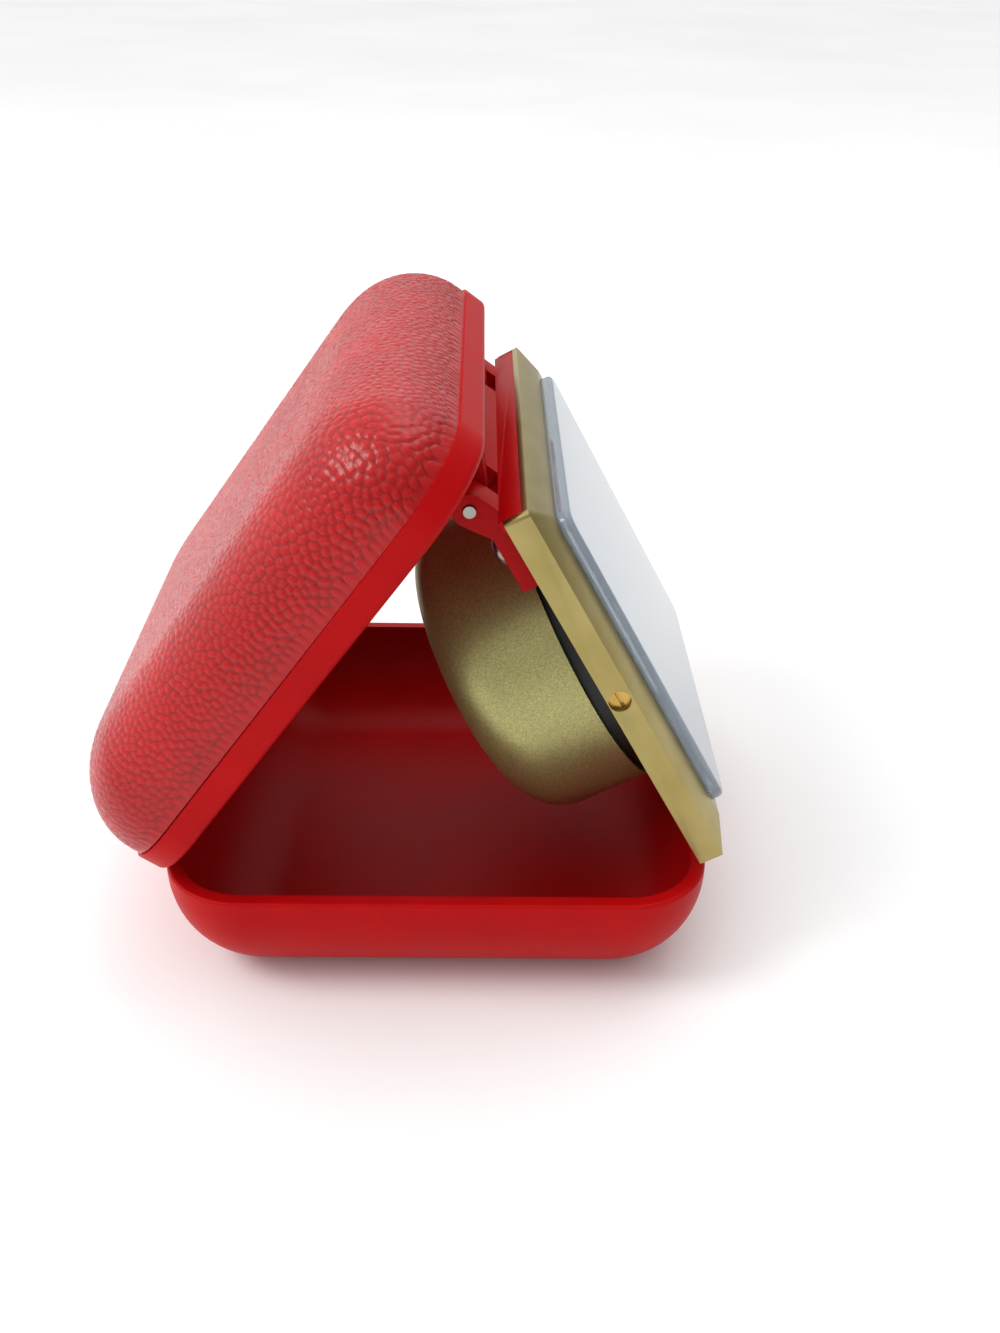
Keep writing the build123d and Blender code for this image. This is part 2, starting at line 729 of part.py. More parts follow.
with BuildPart() as rear_plate:
    with BuildSketch(clock_plane(can_place, rear_plate_back)):
        Circle(plate_radius)
    extrude(amount=plate_thickness)
    for place, radius in plate_holes:
        with BuildSketch(clock_plane(place, rear_plate_back)):
            Circle(radius)
        extrude(amount=plate_thickness, mode=Mode.SUBTRACT)
    with BuildSketch(clock_plane((0, 0), rear_plate_back)):
        with Locations(*pillar_places, *can_screw_spots):
            Circle(small_screw_radius)
    extrude(amount=plate_thickness, mode=Mode.SUBTRACT)
rear_plate.part.label = "rear_plate"
export_step(rear_plate.part, "parts/rear_plate.step")

pillar_thread = 3.0
with BuildPart() as plate_pillars:
    with BuildSketch(clock_plane((0, 0), rear_plate_front)):
        with Locations(*pillar_places):
            Circle(pillar_radius)
    extrude(amount=plate_spacing)
    with BuildSketch(clock_plane((0, 0), rear_plate_front)):
        with Locations(*pillar_places):
            Circle(small_screw_radius)
    extrude(amount=pillar_thread, mode=Mode.SUBTRACT)
plate_pillars.part.label = "plate_pillars"
export_step(plate_pillars.part, "parts/plate_pillars.step")

with BuildPart() as plate_screws:
    with BuildSketch(clock_plane((0, 0), rear_plate_back)):
        with Locations(*pillar_places):
            Circle(small_head_radius)
    extrude(amount=-small_head_height)
    with BuildSketch(clock_plane((0, 0), rear_plate_back)):
        with Locations(*pillar_places):
            Circle(small_screw_radius)
    extrude(amount=plate_thickness + pillar_thread)
plate_screws.part.label = "plate_screws"
export_step(plate_screws.part, "parts/plate_screws.step")

# ---- centre arbor: minute hand in front, setting knob behind ----
control_front = recess_floor - control_gap
control_back = can_back + control_gap
centre_wheel_back = front_plate_back - 2.8
centre_pinion_back = rear_plate_front + 1.0
centre_pinion_length = 2.4
centre_hub_radius = 1.6
centre_hub_overhang = 0.5
centre_hub_length = wheel_thickness + 2 * centre_hub_overhang
centre_window_circle = 4.2
centre_window_radius = 1.5
barrel_wheel_back = drum_back + 1.2
barrel_wheel_thickness = 1.0
minute_hand_back = bezel_lip_back + 1.6
hour_hand_back = bezel_lip_back + 0.85
alarm_hand_back = bezel_lip_back + 0.25
cannon_back = can_front + 0.5
cannon_teeth_width = 1.0
minute_wheel_back = cannon_back + 0.2
hour_wheel_back = minute_wheel_back + 1.4
alarm_wheel_back = hour_wheel_back + 1.1
centre_pinion_phase = mesh_phase(barrel_teeth, 0, centre_leaves, bearing(barrel_place, (0, 0)))

with BuildPart() as centre_arbor:
    with BuildSketch(clock_plane((0, 0), control_back)):
        Circle(centre_arbor_radius)
    extrude(amount=minute_hand_back + 2 * hand_thickness - control_back)
    with BuildSketch(clock_plane((0, 0), centre_pinion_back)):
        Polygon(*tooth_points(centre_leaves, barrel_module, centre_pinion_phase), align=None)
    extrude(amount=centre_pinion_length)
centre_arbor.part.label = "centre_arbor"
export_step(centre_arbor.part, "parts/centre_arbor.step")

with BuildPart() as centre_wheel:
    with BuildSketch(clock_plane((0, 0), centre_wheel_back)):
        Polygon(*tooth_points(centre_teeth, centre_module), align=None)
        with PolarLocations(centre_window_circle, 4):
            Circle(centre_window_radius, mode=Mode.SUBTRACT)
    extrude(amount=wheel_thickness)
    with BuildSketch(clock_plane((0, 0), centre_wheel_back - centre_hub_overhang)):
        Circle(centre_hub_radius)
    extrude(amount=centre_hub_length)
    with BuildSketch(clock_plane((0, 0), centre_wheel_back - centre_hub_overhang)):
        Circle(centre_arbor_radius)
    extrude(amount=centre_hub_length, mode=Mode.SUBTRACT)
centre_wheel.part.label = "centre_wheel"
export_step(centre_wheel.part, "parts/centre_wheel.step")

with BuildPart() as cannon_pinion:
    with BuildSketch(clock_plane((0, 0), cannon_back)):
        Polygon(*tooth_points(cannon_teeth, motion_module), align=None)
    extrude(amount=cannon_teeth_width)
    with BuildSketch(clock_plane((0, 0), cannon_back)):
        Circle(cannon_radius)
    extrude(amount=minute_hand_back - cannon_back)
    with BuildSketch(clock_plane((0, 0), cannon_back)):
        Circle(cannon_bore)
    extrude(amount=minute_hand_back - cannon_back, mode=Mode.SUBTRACT)
cannon_pinion.part.label = "cannon_pinion"
export_step(cannon_pinion.part, "parts/cannon_pinion.step")


def hand_points(length, base_half, tip_half, clock_angle):
    """Tapered blade from the middle of the dial; the angle is clockwise from twelve, from the front."""
    tip = (length + 2 * tip_half, 0)
    outline = ((0, -base_half), (length, -tip_half), tip, (length, tip_half), (0, base_half))
    turn = radians(180 - clock_angle)
    return [(x * cos(turn) - y * sin(turn), x * sin(turn) + y * cos(turn)) for x, y in outline]


with BuildPart() as minute_hand:
    with BuildSketch(clock_plane((0, 0), minute_hand_back)):
        Polygon(
            *hand_points(minute_hand_length, *minute_hand_half_widths, minute_hand_clock_angle), align=None
        )
        Circle(minute_hub_radius)
        Circle(centre_arbor_radius, mode=Mode.SUBTRACT)
    extrude(amount=hand_thickness)
minute_hand.part.label = "minute_hand"
export_step(minute_hand.part, "parts/minute_hand.step")

with BuildPart() as time_set_knob:
    with BuildSketch(clock_plane((0, 0), control_back)):
        Polygon(*tooth_points(knob_teeth, 2 * knob_radius / knob_teeth), align=None)
        Circle(centre_arbor_radius, mode=Mode.SUBTRACT)
    extrude(amount=control_front - control_back)
time_set_knob.part.label = "time_set_knob"
export_step(time_set_knob.part, "parts/time_set_knob.step")

# ---- motion work: minute wheel and hour wheel ----
minute_phase = mesh_phase(cannon_teeth, 0, minute_teeth, minute_direction)
hour_phase = mesh_phase(minute_leaves, 0, hour_teeth, minute_direction + 180)
minute_stud_bore = train_arbor_radius + running_gap
minute_pinion_length = hour_wheel_back + wheel_thickness + fit_gap - minute_wheel_back

with BuildPart() as minute_wheel:
    with BuildSketch(clock_plane(minute_place, minute_wheel_back)):
        Polygon(*tooth_points(minute_teeth, motion_module, minute_phase), align=None)
    extrude(amount=wheel_thickness)
    with BuildSketch(clock_plane(minute_place, minute_wheel_back)):
        Polygon(*tooth_points(minute_leaves, hour_module), align=None)
    extrude(amount=minute_pinion_length)
    with BuildSketch(clock_plane(minute_place, minute_wheel_back)):
        Circle(minute_stud_bore)
    extrude(amount=minute_pinion_length, mode=Mode.SUBTRACT)
minute_wheel.part.label = "minute_wheel"
export_step(minute_wheel.part, "parts/minute_wheel.step")

with BuildPart() as hour_wheel:
    with BuildSketch(clock_plane((0, 0), hour_wheel_back)):
        Polygon(*tooth_points(hour_teeth, hour_module, hour_phase), align=None)
    extrude(amount=wheel_thickness)
    with BuildSketch(clock_plane((0, 0), hour_wheel_back)):
        Circle(hour_pipe_radius)
    extrude(amount=hour_hand_back + hand_thickness - hour_wheel_back)
    with BuildSketch(clock_plane((0, 0), hour_wheel_back)):
        Circle(hour_pipe_bore)
    extrude(amount=hour_hand_back + hand_thickness - hour_wheel_back, mode=Mode.SUBTRACT)
hour_wheel.part.label = "hour_wheel"
export_step(hour_wheel.part, "parts/hour_wheel.step")

with BuildPart() as hour_hand:
    with BuildSketch(clock_plane((0, 0), hour_hand_back)):
        Polygon(*hand_points(hour_hand_length, *hour_hand_half_widths, hour_hand_clock_angle), align=None)
        Circle(hour_hub_radius)
        Circle(hour_pipe_radius, mode=Mode.SUBTRACT)
    extrude(amount=hand_thickness)
hour_hand.part.label = "hour_hand"
export_step(hour_hand.part, "parts/hour_hand.step")

# ---- alarm hand and its setting wheel ----
alarm_set_phase = mesh_phase(alarm_teeth, 0, alarm_set_teeth, alarm_set_direction)

with BuildPart() as alarm_wheel:
    with BuildSketch(clock_plane((0, 0), alarm_wheel_back)):
        Polygon(*tooth_points(alarm_teeth, alarm_module), align=None)
    extrude(amount=wheel_thickness)
    with BuildSketch(clock_plane((0, 0), alarm_wheel_back)):
        Circle(alarm_pipe_radius)
    extrude(amount=alarm_hand_back + hand_thickness - alarm_wheel_back)
    with BuildSketch(clock_plane((0, 0), alarm_wheel_back)):
        Circle(alarm_pipe_bore)
    extrude(amount=alarm_hand_back + hand_thickness - alarm_wheel_back, mode=Mode.SUBTRACT)
alarm_wheel.part.label = "alarm_wheel"
export_step(alarm_wheel.part, "parts/alarm_wheel.step")

with BuildPart() as alarm_hand:
    with BuildSketch(clock_plane((0, 0), alarm_hand_back)):
        Polygon(
            *hand_points(alarm_hand_length, *alarm_hand_half_widths, alarm_hand_clock_angle), align=None
        )
        Circle(alarm_hub_radius)
        Circle(alarm_pipe_radius, mode=Mode.SUBTRACT)
    extrude(amount=hand_thickness)
alarm_hand.part.label = "alarm_hand"
export_step(alarm_hand.part, "parts/alarm_hand.step")

with BuildPart() as alarm_set_arbor:
    with BuildSketch(clock_plane(alarm_set_place, control_back)):
        Circle(train_arbor_radius)
    extrude(amount=alarm_wheel_back + wheel_thickness - control_back)
    with BuildSketch(clock_plane(alarm_set_place, alarm_wheel_back - fit_gap)):
        Polygon(*tooth_points(alarm_set_teeth, alarm_module, alarm_set_phase), align=None)
    extrude(amount=wheel_thickness + 2 * fit_gap)
alarm_set_arbor.part.label = "alarm_set_arbor"
export_step(alarm_set_arbor.part, "parts/alarm_set_arbor.step")

with BuildPart() as alarm_set_knob:
    with BuildSketch(clock_plane(alarm_set_place, control_back)):
        Polygon(*tooth_points(knob_teeth, 2 * knob_radius / knob_teeth), align=None)
        Circle(train_arbor_radius, mode=Mode.SUBTRACT)
    extrude(amount=control_front - control_back)
alarm_set_knob.part.label = "alarm_set_knob"
export_step(alarm_set_knob.part, "parts/alarm_set_knob.step")

# ---- going train: third wheel and escape wheel ----
third_wheel_back = drum_front + 0.6
third_phase = mesh_phase(centre_teeth, 0, third_leaves, third_direction)
escape_phase = mesh_phase(third_teeth, 0, escape_leaves, escape_direction)
escape_wheel_back = drum_front - 1.4
third_window_circle = 3.4
third_window_radius = 1.2
arbor_shoulder = 0.2


def pivoted_levels(body_radius):
    """Back, front and radius of the three steps of an arbor that runs in both plates."""
    return (
        (rear_plate_back, rear_plate_front + arbor_shoulder, pivot_radius),
        (rear_plate_front + arbor_shoulder, front_plate_back - arbor_shoulder, body_radius),
        (front_plate_back - arbor_shoulder, can_front, pivot_radius),
    )


with BuildPart() as third_arbor:
    for back, front, radius in pivoted_levels(train_arbor_radius):
        with BuildSketch(clock_plane(third_place, back)):
            Circle(radius)
        extrude(amount=front - back)
    with BuildSketch(clock_plane(third_place, centre_wheel_back - pinion_overlap)):
        Polygon(*tooth_points(third_leaves, centre_module, third_phase), align=None)
    extrude(amount=wheel_thickness + 2 * pinion_overlap)
third_arbor.part.label = "third_arbor"
export_step(third_arbor.part, "parts/third_arbor.step")

with BuildPart() as third_wheel:
    with BuildSketch(clock_plane(third_place, third_wheel_back)):
        Polygon(*tooth_points(third_teeth, third_module), align=None)
        with PolarLocations(third_window_circle, 4):
            Circle(third_window_radius, mode=Mode.SUBTRACT)
        Circle(train_arbor_radius, mode=Mode.SUBTRACT)
    extrude(amount=wheel_thickness)
third_wheel.part.label = "third_wheel"
export_step(third_wheel.part, "parts/third_wheel.step")

with BuildPart() as escape_arbor:
    for back, front, radius in pivoted_levels(train_arbor_radius):
        with BuildSketch(clock_plane(escape_place, back)):
            Circle(radius)
        extrude(amount=front - back)
    with BuildSketch(clock_plane(escape_place, third_wheel_back - pinion_overlap)):
        Polygon(*tooth_points(escape_leaves, third_module, escape_phase), align=None)
    extrude(amount=wheel_thickness + 2 * pinion_overlap)
escape_arbor.part.label = "escape_arbor"
export_step(escape_arbor.part, "parts/escape_arbor.step")

with BuildPart() as escape_wheel:
    with BuildSketch(clock_plane(escape_place, escape_wheel_back)):
        Polygon(*ratchet_points(escape_teeth, escape_root_radius, escape_radius), align=None)
        with PolarLocations(escape_window_circle, 3):
            Circle(escape_window_radius, mode=Mode.SUBTRACT)
        Circle(train_arbor_radius, mode=Mode.SUBTRACT)
    extrude(amount=wheel_thickness)
escape_wheel.part.label = "escape_wheel"
export_step(escape_wheel.part, "parts/escape_wheel.step")

# ---- pallet lever and balance ----
pallet_swing_gap = 0.55
pallet_half_angle = 40
pallet_angle_step = 8
pallet_band = 0.9
pallet_hub_radius = 1.4
lever_width = 1.0
fork_end_gap = 2.0
roller_radius = 1.2
pallet_bearing = bearing(escape_place, pallet_place)
fork_bearing = bearing(pallet_place, balance_place)
pallet_to_balance = hypot(balance_place[0] - pallet_place[0], balance_place[1] - pallet_place[1])
fork_length = pallet_to_balance - fork_end_gap
fork_middle = polar(fork_length / 2, fork_bearing, pallet_place)
anchor_inner = escape_radius + pallet_swing_gap
anchor_turns = range(-pallet_half_angle, pallet_half_angle + 1, pallet_angle_step)

with BuildPart() as pallet_lever:
    for back, front, radius in pivoted_levels(train_arbor_radius):
        with BuildSketch(clock_plane(pallet_place, back)):
            Circle(radius)
        extrude(amount=front - back)
    with BuildSketch(clock_plane((0, 0), escape_wheel_back)):
        with Locations(pallet_place):
            Circle(pallet_hub_radius)
        with Locations(Location((fork_middle[0], fork_middle[1], 0), (0, 0, fork_bearing))):
            Rectangle(fork_length, lever_width)
        with Locations(escape_place):
            Polygon(
                *[polar(anchor_inner, pallet_bearing + turn) for turn in anchor_turns],
                *[polar(anchor_inner + pallet_band, pallet_bearing - turn) for turn in anchor_turns],
                align=None,
            )
    extrude(amount=wheel_thickness)
pallet_lever.part.label = "pallet_lever"
export_step(pallet_lever.part, "parts/pallet_lever.step")

balance_back = front_plate_back - 1.6
with BuildPart() as balance_staff:
    for back, front, radius in pivoted_levels(train_arbor_radius):
        with BuildSketch(clock_plane(balance_place, back)):
            Circle(radius)
        extrude(amount=front - back)
    with BuildSketch(clock_plane(balance_place, escape_wheel_back)):
        Circle(roller_radius)
    extrude(amount=wheel_thickness)
balance_staff.part.label = "balance_staff"
export_step(balance_staff.part, "parts/balance_staff.step")

with BuildPart() as balance_wheel:
    with BuildSketch(clock_plane(balance_place, balance_back)):
        Circle(balance_radius)
        Circle(balance_radius - balance_rim, mode=Mode.SUBTRACT)
        Rectangle(2 * balance_radius - balance_rim, balance_arm)
        Circle(balance_hub_radius)
        Circle(train_arbor_radius, mode=Mode.SUBTRACT)
    extrude(amount=balance_thickness)
balance_wheel.part.label = "balance_wheel"
export_step(balance_wheel.part, "parts/balance_wheel.step")

hairspring_collet_radius = 1.06
hairspring_inner_radius = 1.0
hairspring_growth = 2.8
hairspring_strip = 0.12
hairspring_width = 0.5
hairspring_drop = 1.2
hairspring_turns = 5
hairspring_points = 24 * hairspring_turns


def spiral_side(offset):
    """One side of the hairspring's strip, from the inner end outwards."""
    side = []
    for step in range(hairspring_points + 1):
        share = step / hairspring_points
        reach = hairspring_inner_radius + hairspring_growth * share + offset
        side.append(polar(reach, share * hairspring_turns * 360))
    return side


with BuildPart() as hairspring:
    with BuildSketch(clock_plane(balance_place, balance_back - hairspring_drop)):
        Polygon(*spiral_side(0), *reversed(spiral_side(hairspring_strip)), align=None)
        Circle(hairspring_collet_radius)
        Circle(train_arbor_radius, mode=Mode.SUBTRACT)
    extrude(amount=hairspring_width)
hairspring.part.label = "hairspring"
export_step(hairspring.part, "parts/hairspring.step")

# ---- going barrel and alarm barrel with their springs, arbors, ratchets and keys ----
spring_gap = 0.2
ratchet_root_radius = 2.6
ratchet_tip_radius = 3.1
ratchet_thickness = 0.7
ratchet_gap = 0.2
key_hub_radius = 2.0


def barrel_part(place, toothed):
    """Drum open to the front, with the great wheel's teeth when it drives the train."""
    with BuildPart() as drum:
        with BuildSketch(clock_plane(place, drum_back)):
            Circle(drum_radius)
        extrude(amount=drum_front - drum_wall - drum_back)
        if toothed:
            with BuildSketch(clock_plane(place, barrel_wheel_back)):
                Polygon(*tooth_points(barrel_teeth, barrel_module), align=None)
            extrude(amount=barrel_wheel_thickness)
        with BuildSketch(clock_plane(place, drum_back + drum_wall)):
            Circle(drum_radius - drum_wall)
        extrude(amount=drum_front - drum_back, mode=Mode.SUBTRACT)
        with BuildSketch(clock_plane(place, drum_back)):
            Circle(winding_arbor_radius + running_gap)
        extrude(amount=drum_wall, mode=Mode.SUBTRACT)
    return drum


def ring_part(place, back, front, outer, inner):
    """Flat ring round an arbor: a barrel's cover or the coiled strip inside it."""
    with BuildPart() as ring:
        with BuildSketch(clock_plane(place, back)):
            Circle(outer)
            Circle(inner, mode=Mode.SUBTRACT)
        extrude(amount=front - back)
    return ring


def winding_arbor_part(place):
    """Arbor that the key turns, from the front plate to the key."""
    with BuildPart() as arbor:
        with BuildSketch(clock_plane(place, control_back)):
            Circle(winding_arbor_radius)
        extrude(amount=can_front - control_back)
    return arbor


def ratchet_part(place):
    """Saw-toothed wheel on a winding arbor, behind the rear plate."""
    with BuildPart() as ratchet:
        with BuildSketch(clock_plane(place, rear_plate_back - ratchet_gap - ratchet_thickness)):
            Polygon(*ratchet_points(ratchet_teeth, ratchet_root_radius, ratchet_tip_radius), align=None)
            Circle(winding_arbor_radius, mode=Mode.SUBTRACT)
        extrude(amount=ratchet_thickness)
    return ratchet


def key_part(place, turn):
    """Butterfly winding key: a round hub with one straight wing across it."""
    with BuildPart() as key:
        with BuildSketch(clock_plane(place, control_back)):
            Circle(key_hub_radius)
            SlotOverall(key_length, key_thickness, rotation=turn)
            Circle(winding_arbor_radius, mode=Mode.SUBTRACT)
        extrude(amount=control_front - control_back)
    return key


cover_back = drum_front - drum_wall
spring_back = drum_back + drum_wall + spring_gap
spring_front = cover_back - spring_gap
spring_outer = drum_radius - drum_wall - spring_gap

main_barrel = barrel_part(barrel_place, True)
main_barrel.part.label = "main_barrel"
export_step(main_barrel.part, "parts/main_barrel.step")

main_barrel_cover = ring_part(
    barrel_place, cover_back, drum_front, drum_radius, winding_arbor_radius + running_gap
)
main_barrel_cover.part.label = "main_barrel_cover"
export_step(main_barrel_cover.part, "parts/main_barrel_cover.step")

mainspring = ring_part(
    barrel_place, spring_back, spring_front, spring_outer, winding_arbor_radius + spring_gap
)
mainspring.part.label = "mainspring"
export_step(mainspring.part, "parts/mainspring.step")

winding_arbor = winding_arbor_part(barrel_place)
winding_arbor.part.label = "winding_arbor"
export_step(winding_arbor.part, "parts/winding_arbor.step")

winding_ratchet = ratchet_part(barrel_place)
winding_ratchet.part.label = "winding_ratchet"
export_step(winding_ratchet.part, "parts/winding_ratchet.step")

winding_key = key_part(barrel_place, winding_key_turn)
winding_key.part.label = "winding_key"
export_step(winding_key.part, "parts/winding_key.step")

alarm_barrel = barrel_part(alarm_barrel_place, False)
alarm_barrel.part.label = "alarm_barrel"
export_step(alarm_barrel.part, "parts/alarm_barrel.step")

alarm_barrel_cover = ring_part(
    alarm_barrel_place, cover_back, drum_front, drum_radius, winding_arbor_radius + running_gap
)
alarm_barrel_cover.part.label = "alarm_barrel_cover"
export_step(alarm_barrel_cover.part, "parts/alarm_barrel_cover.step")

alarm_mainspring = ring_part(
    alarm_barrel_place, spring_back, spring_front, spring_outer, winding_arbor_radius + spring_gap
)
alarm_mainspring.part.label = "alarm_mainspring"
export_step(alarm_mainspring.part, "parts/alarm_mainspring.step")

alarm_winding_arbor = winding_arbor_part(alarm_barrel_place)
alarm_winding_arbor.part.label = "alarm_winding_arbor"
export_step(alarm_winding_arbor.part, "parts/alarm_winding_arbor.step")

alarm_ratchet = ratchet_part(alarm_barrel_place)
alarm_ratchet.part.label = "alarm_ratchet"
export_step(alarm_ratchet.part, "parts/alarm_ratchet.step")

alarm_key = key_part(alarm_barrel_place, alarm_key_turn)
alarm_key.part.label = "alarm_key"
export_step(alarm_key.part, "parts/alarm_key.step")

# ---- alarm hammer and alarm stop switch ----
hammer_reach = 7.0
hammer_direction = 40
hammer_hub_radius = 1.3
hammer_arm_width = 1.0
hammer_arm_thickness = 1.2
hammer_head_radius = 1.6
hammer_head_height = 3.2
hammer_arm_back = centre_wheel_back - 1.6
hammer_middle = polar(hammer_reach / 2, hammer_direction, hammer_place)
hammer_end = polar(hammer_reach, hammer_direction, hammer_place)

with BuildPart() as alarm_hammer:
    for back, front, radius in pivoted_levels(train_arbor_radius):
        with BuildSketch(clock_plane(hammer_place, back)):
            Circle(radius)
        extrude(amount=front - back)
    with BuildSketch(clock_plane((0, 0), hammer_arm_back)):
        with Locations(hammer_place):
            Circle(hammer_hub_radius)
        with Locations(Location((hammer_middle[0], hammer_middle[1], 0), (0, 0, hammer_direction))):
            Rectangle(hammer_reach, hammer_arm_width)
    extrude(amount=hammer_arm_thickness)
    with BuildSketch(clock_plane(hammer_end, hammer_arm_back - hammer_arm_width)):
        Circle(hammer_head_radius)
    extrude(amount=hammer_head_height)
alarm_hammer.part.label = "alarm_hammer"
export_step(alarm_hammer.part, "parts/alarm_hammer.step")

switch_button_back = recess_floor - 1.6
switch_button_front = recess_floor - 0.15
with BuildPart() as alarm_switch:
    with BuildSketch(clock_plane(switch_place, inner_floor + fit_gap)):
        Rectangle(switch_pad_length, switch_pad_width)
    extrude(amount=can_wall)
    with BuildSketch(clock_plane(switch_place, switch_button_front)):
        Rectangle(switch_stem_width, switch_stem_length)
    extrude(amount=inner_floor + fit_gap - switch_button_front)
    with BuildSketch(clock_plane(switch_place, switch_button_back)):
        Rectangle(switch_button_length, switch_button_width)
    extrude(amount=switch_button_front - switch_button_back)
alarm_switch.part.label = "alarm_switch"
export_step(alarm_switch.part, "parts/alarm_switch.step")

for name, place in (
    ("minute wheel", minute_place),
    ("alarm setting", alarm_set_place),
    ("third wheel", third_place),
    ("escape wheel", escape_place),
    ("pallet lever", pallet_place),
    ("balance", balance_place),
    ("going barrel", barrel_place),
    ("alarm barrel", alarm_barrel_place),
    ("alarm hammer", hammer_place),
):
    print(name, "turns about", clock_plane(place).origin)
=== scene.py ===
# %% [markdown]
# # A folding travel alarm clock, standing open
#
# The clock is a leather-grained plastic case of two trays.  The rear shell leans back on its hinge, the
# clock unit hangs from the shell's free edge, and its foot ends just above a catch on the base.  All the
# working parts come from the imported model, in metres.  This script gives them their finishes and adds what
# a drawing for the workshop leaves out: the leather grain, the printed dial and the eased edges that catch
# the light.

# %% Load the frame
import bpy, json, math, random
import numpy as np
from mathutils import Matrix, Vector, kdtree


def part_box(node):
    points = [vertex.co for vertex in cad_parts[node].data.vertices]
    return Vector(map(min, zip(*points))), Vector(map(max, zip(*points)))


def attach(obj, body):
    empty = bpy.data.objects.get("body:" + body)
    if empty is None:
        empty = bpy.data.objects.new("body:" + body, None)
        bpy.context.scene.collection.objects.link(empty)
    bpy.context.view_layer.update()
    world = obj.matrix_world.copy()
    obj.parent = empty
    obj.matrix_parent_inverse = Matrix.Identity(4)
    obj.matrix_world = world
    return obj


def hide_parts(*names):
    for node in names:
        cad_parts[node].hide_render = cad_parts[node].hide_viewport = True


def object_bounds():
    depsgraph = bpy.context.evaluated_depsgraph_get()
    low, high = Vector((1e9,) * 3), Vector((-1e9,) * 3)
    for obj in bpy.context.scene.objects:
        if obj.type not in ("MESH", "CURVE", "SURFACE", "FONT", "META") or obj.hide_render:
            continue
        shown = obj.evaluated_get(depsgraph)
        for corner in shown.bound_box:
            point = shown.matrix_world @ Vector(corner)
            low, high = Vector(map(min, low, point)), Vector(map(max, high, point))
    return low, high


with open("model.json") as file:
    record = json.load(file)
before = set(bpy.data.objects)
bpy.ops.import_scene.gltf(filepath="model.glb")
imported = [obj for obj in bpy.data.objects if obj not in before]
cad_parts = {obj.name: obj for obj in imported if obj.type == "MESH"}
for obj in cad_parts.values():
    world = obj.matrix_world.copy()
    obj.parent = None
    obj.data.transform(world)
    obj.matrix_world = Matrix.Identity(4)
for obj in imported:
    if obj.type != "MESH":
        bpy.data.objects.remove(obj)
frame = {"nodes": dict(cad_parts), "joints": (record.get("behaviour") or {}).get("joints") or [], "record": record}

cad_low, cad_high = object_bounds()
nodes = frame["nodes"]
MM = 0.001
print("the model is", [round((high - low) / MM, 1) for low, high in zip(cad_low, cad_high)], "mm")

# %% [markdown]
# The two directions that everything else hangs on are read from the model: the axis of the hands, which is
# square to the dial, and the way that the rear shell's flat back faces.

# %% Directions of the clock and the shell
joints = {joint["name"]: joint for joint in frame["joints"]}
dial_out = Vector(joints["minute_spin"]["axis"]).normalized()
dial_centre = Vector(joints["minute_spin"]["pos_m"])
across = Vector((0, 1, 0))
dial_down = across.cross(dial_out)


def largest_facing(node, towards):
    """Normal of the flat area that is the largest of those facing roughly one way."""
    areas = {}
    for face in node.data.polygons:
        if face.normal.dot(towards) > 0.3:
            key = tuple(round(part, 2) for part in face.normal)
            areas[key] = areas.get(key, 0) + face.area
    return Vector(max(areas, key=areas.get)).normalized()


shell_out = largest_facing(nodes["rear_shell_cover"], Vector((-1, 0, 0.5)))
shell_up = -across.cross(shell_out)
print("the dial faces", tuple(round(part, 3) for part in dial_out))
print("the shell's back faces", tuple(round(part, 3) for part in shell_out))


def along(node, direction):
    """Lowest and highest reach of a node along a direction, in metres."""
    reach = [vertex.co.dot(direction) for vertex in nodes[node].data.vertices]
    return min(reach), max(reach)


def deselect():
    """Nothing is selected, so that the next operator acts only on what it is given."""
    bpy.ops.object.select_all(action="DESELECT")


def take(piece):
    """Makes one object the only selected and the active one."""
    deselect()
    piece.select_set(True)
    bpy.context.view_layer.objects.active = piece


# %% [markdown]
# Colours are picked as a screen shows them and turned to the linear values that the renderer adds up.  One
# small function adds a shader node with its settings and its links, and every finish is written with it.

# %% Colour and node helpers
def linear(hex_colour):
    """sRGB hex colour to linear red, green, blue and alpha."""
    parts = [int(hex_colour[place:place + 2], 16) / 255 for place in (0, 2, 4)]
    return (*[part / 12.92 if part <= 0.04045 else ((part + 0.055) / 1.055) ** 2.4 for part in parts], 1)


def add(tree, kind, settings=None, **inputs):
    """Adds a node with settings by name and inputs by socket name or number: values or other sockets."""
    node = tree.nodes.new("ShaderNode" + kind)
    for name, value in (settings or {}).items():
        setattr(node, name, value)
    for name, value in inputs.items():
        key = int(name[1:]) if name[1:].isdigit() else name.replace("_", " ")
        socket = node.inputs[key]
        if isinstance(value, bpy.types.NodeSocket):
            tree.links.new(value, socket)
        else:
            socket.default_value = value
    return node


def ramp(tree, factor, *stops):
    """Colour ramp between stops of (position, hex colour)."""
    node = add(tree, "ValToRGB", None, Fac=factor)
    band = node.color_ramp
    while len(band.elements) < len(stops):
        band.elements.new(0.5)
    for element, (place, hex_colour) in zip(band.elements, stops):
        element.position = place
        element.color = linear(hex_colour)
    return node.outputs["Color"]


def new_finish(name):
    """Empty material with its surface shader and Object coordinates in metres."""
    finish = bpy.data.materials.new(name)
    finish.use_nodes = True
    tree = finish.node_tree
    surface = tree.nodes["Principled BSDF"]
    place = add(tree, "TexCoord").outputs["Object"]
    return finish, tree, surface, place


def grain(tree, place, size, detail=2, roughness=0.5, stretch=(1, 1, 1)):
    """Noise whose lumps are about one size across, in metres, pulled along an axis by the stretch."""
    scaled = add(tree, "Mapping", None, Vector=place, Scale=stretch).outputs["Vector"]
    return add(tree, "TexNoise", None, Vector=scaled, Scale=1 / size, Detail=detail,
               Roughness=roughness).outputs["Fac"]


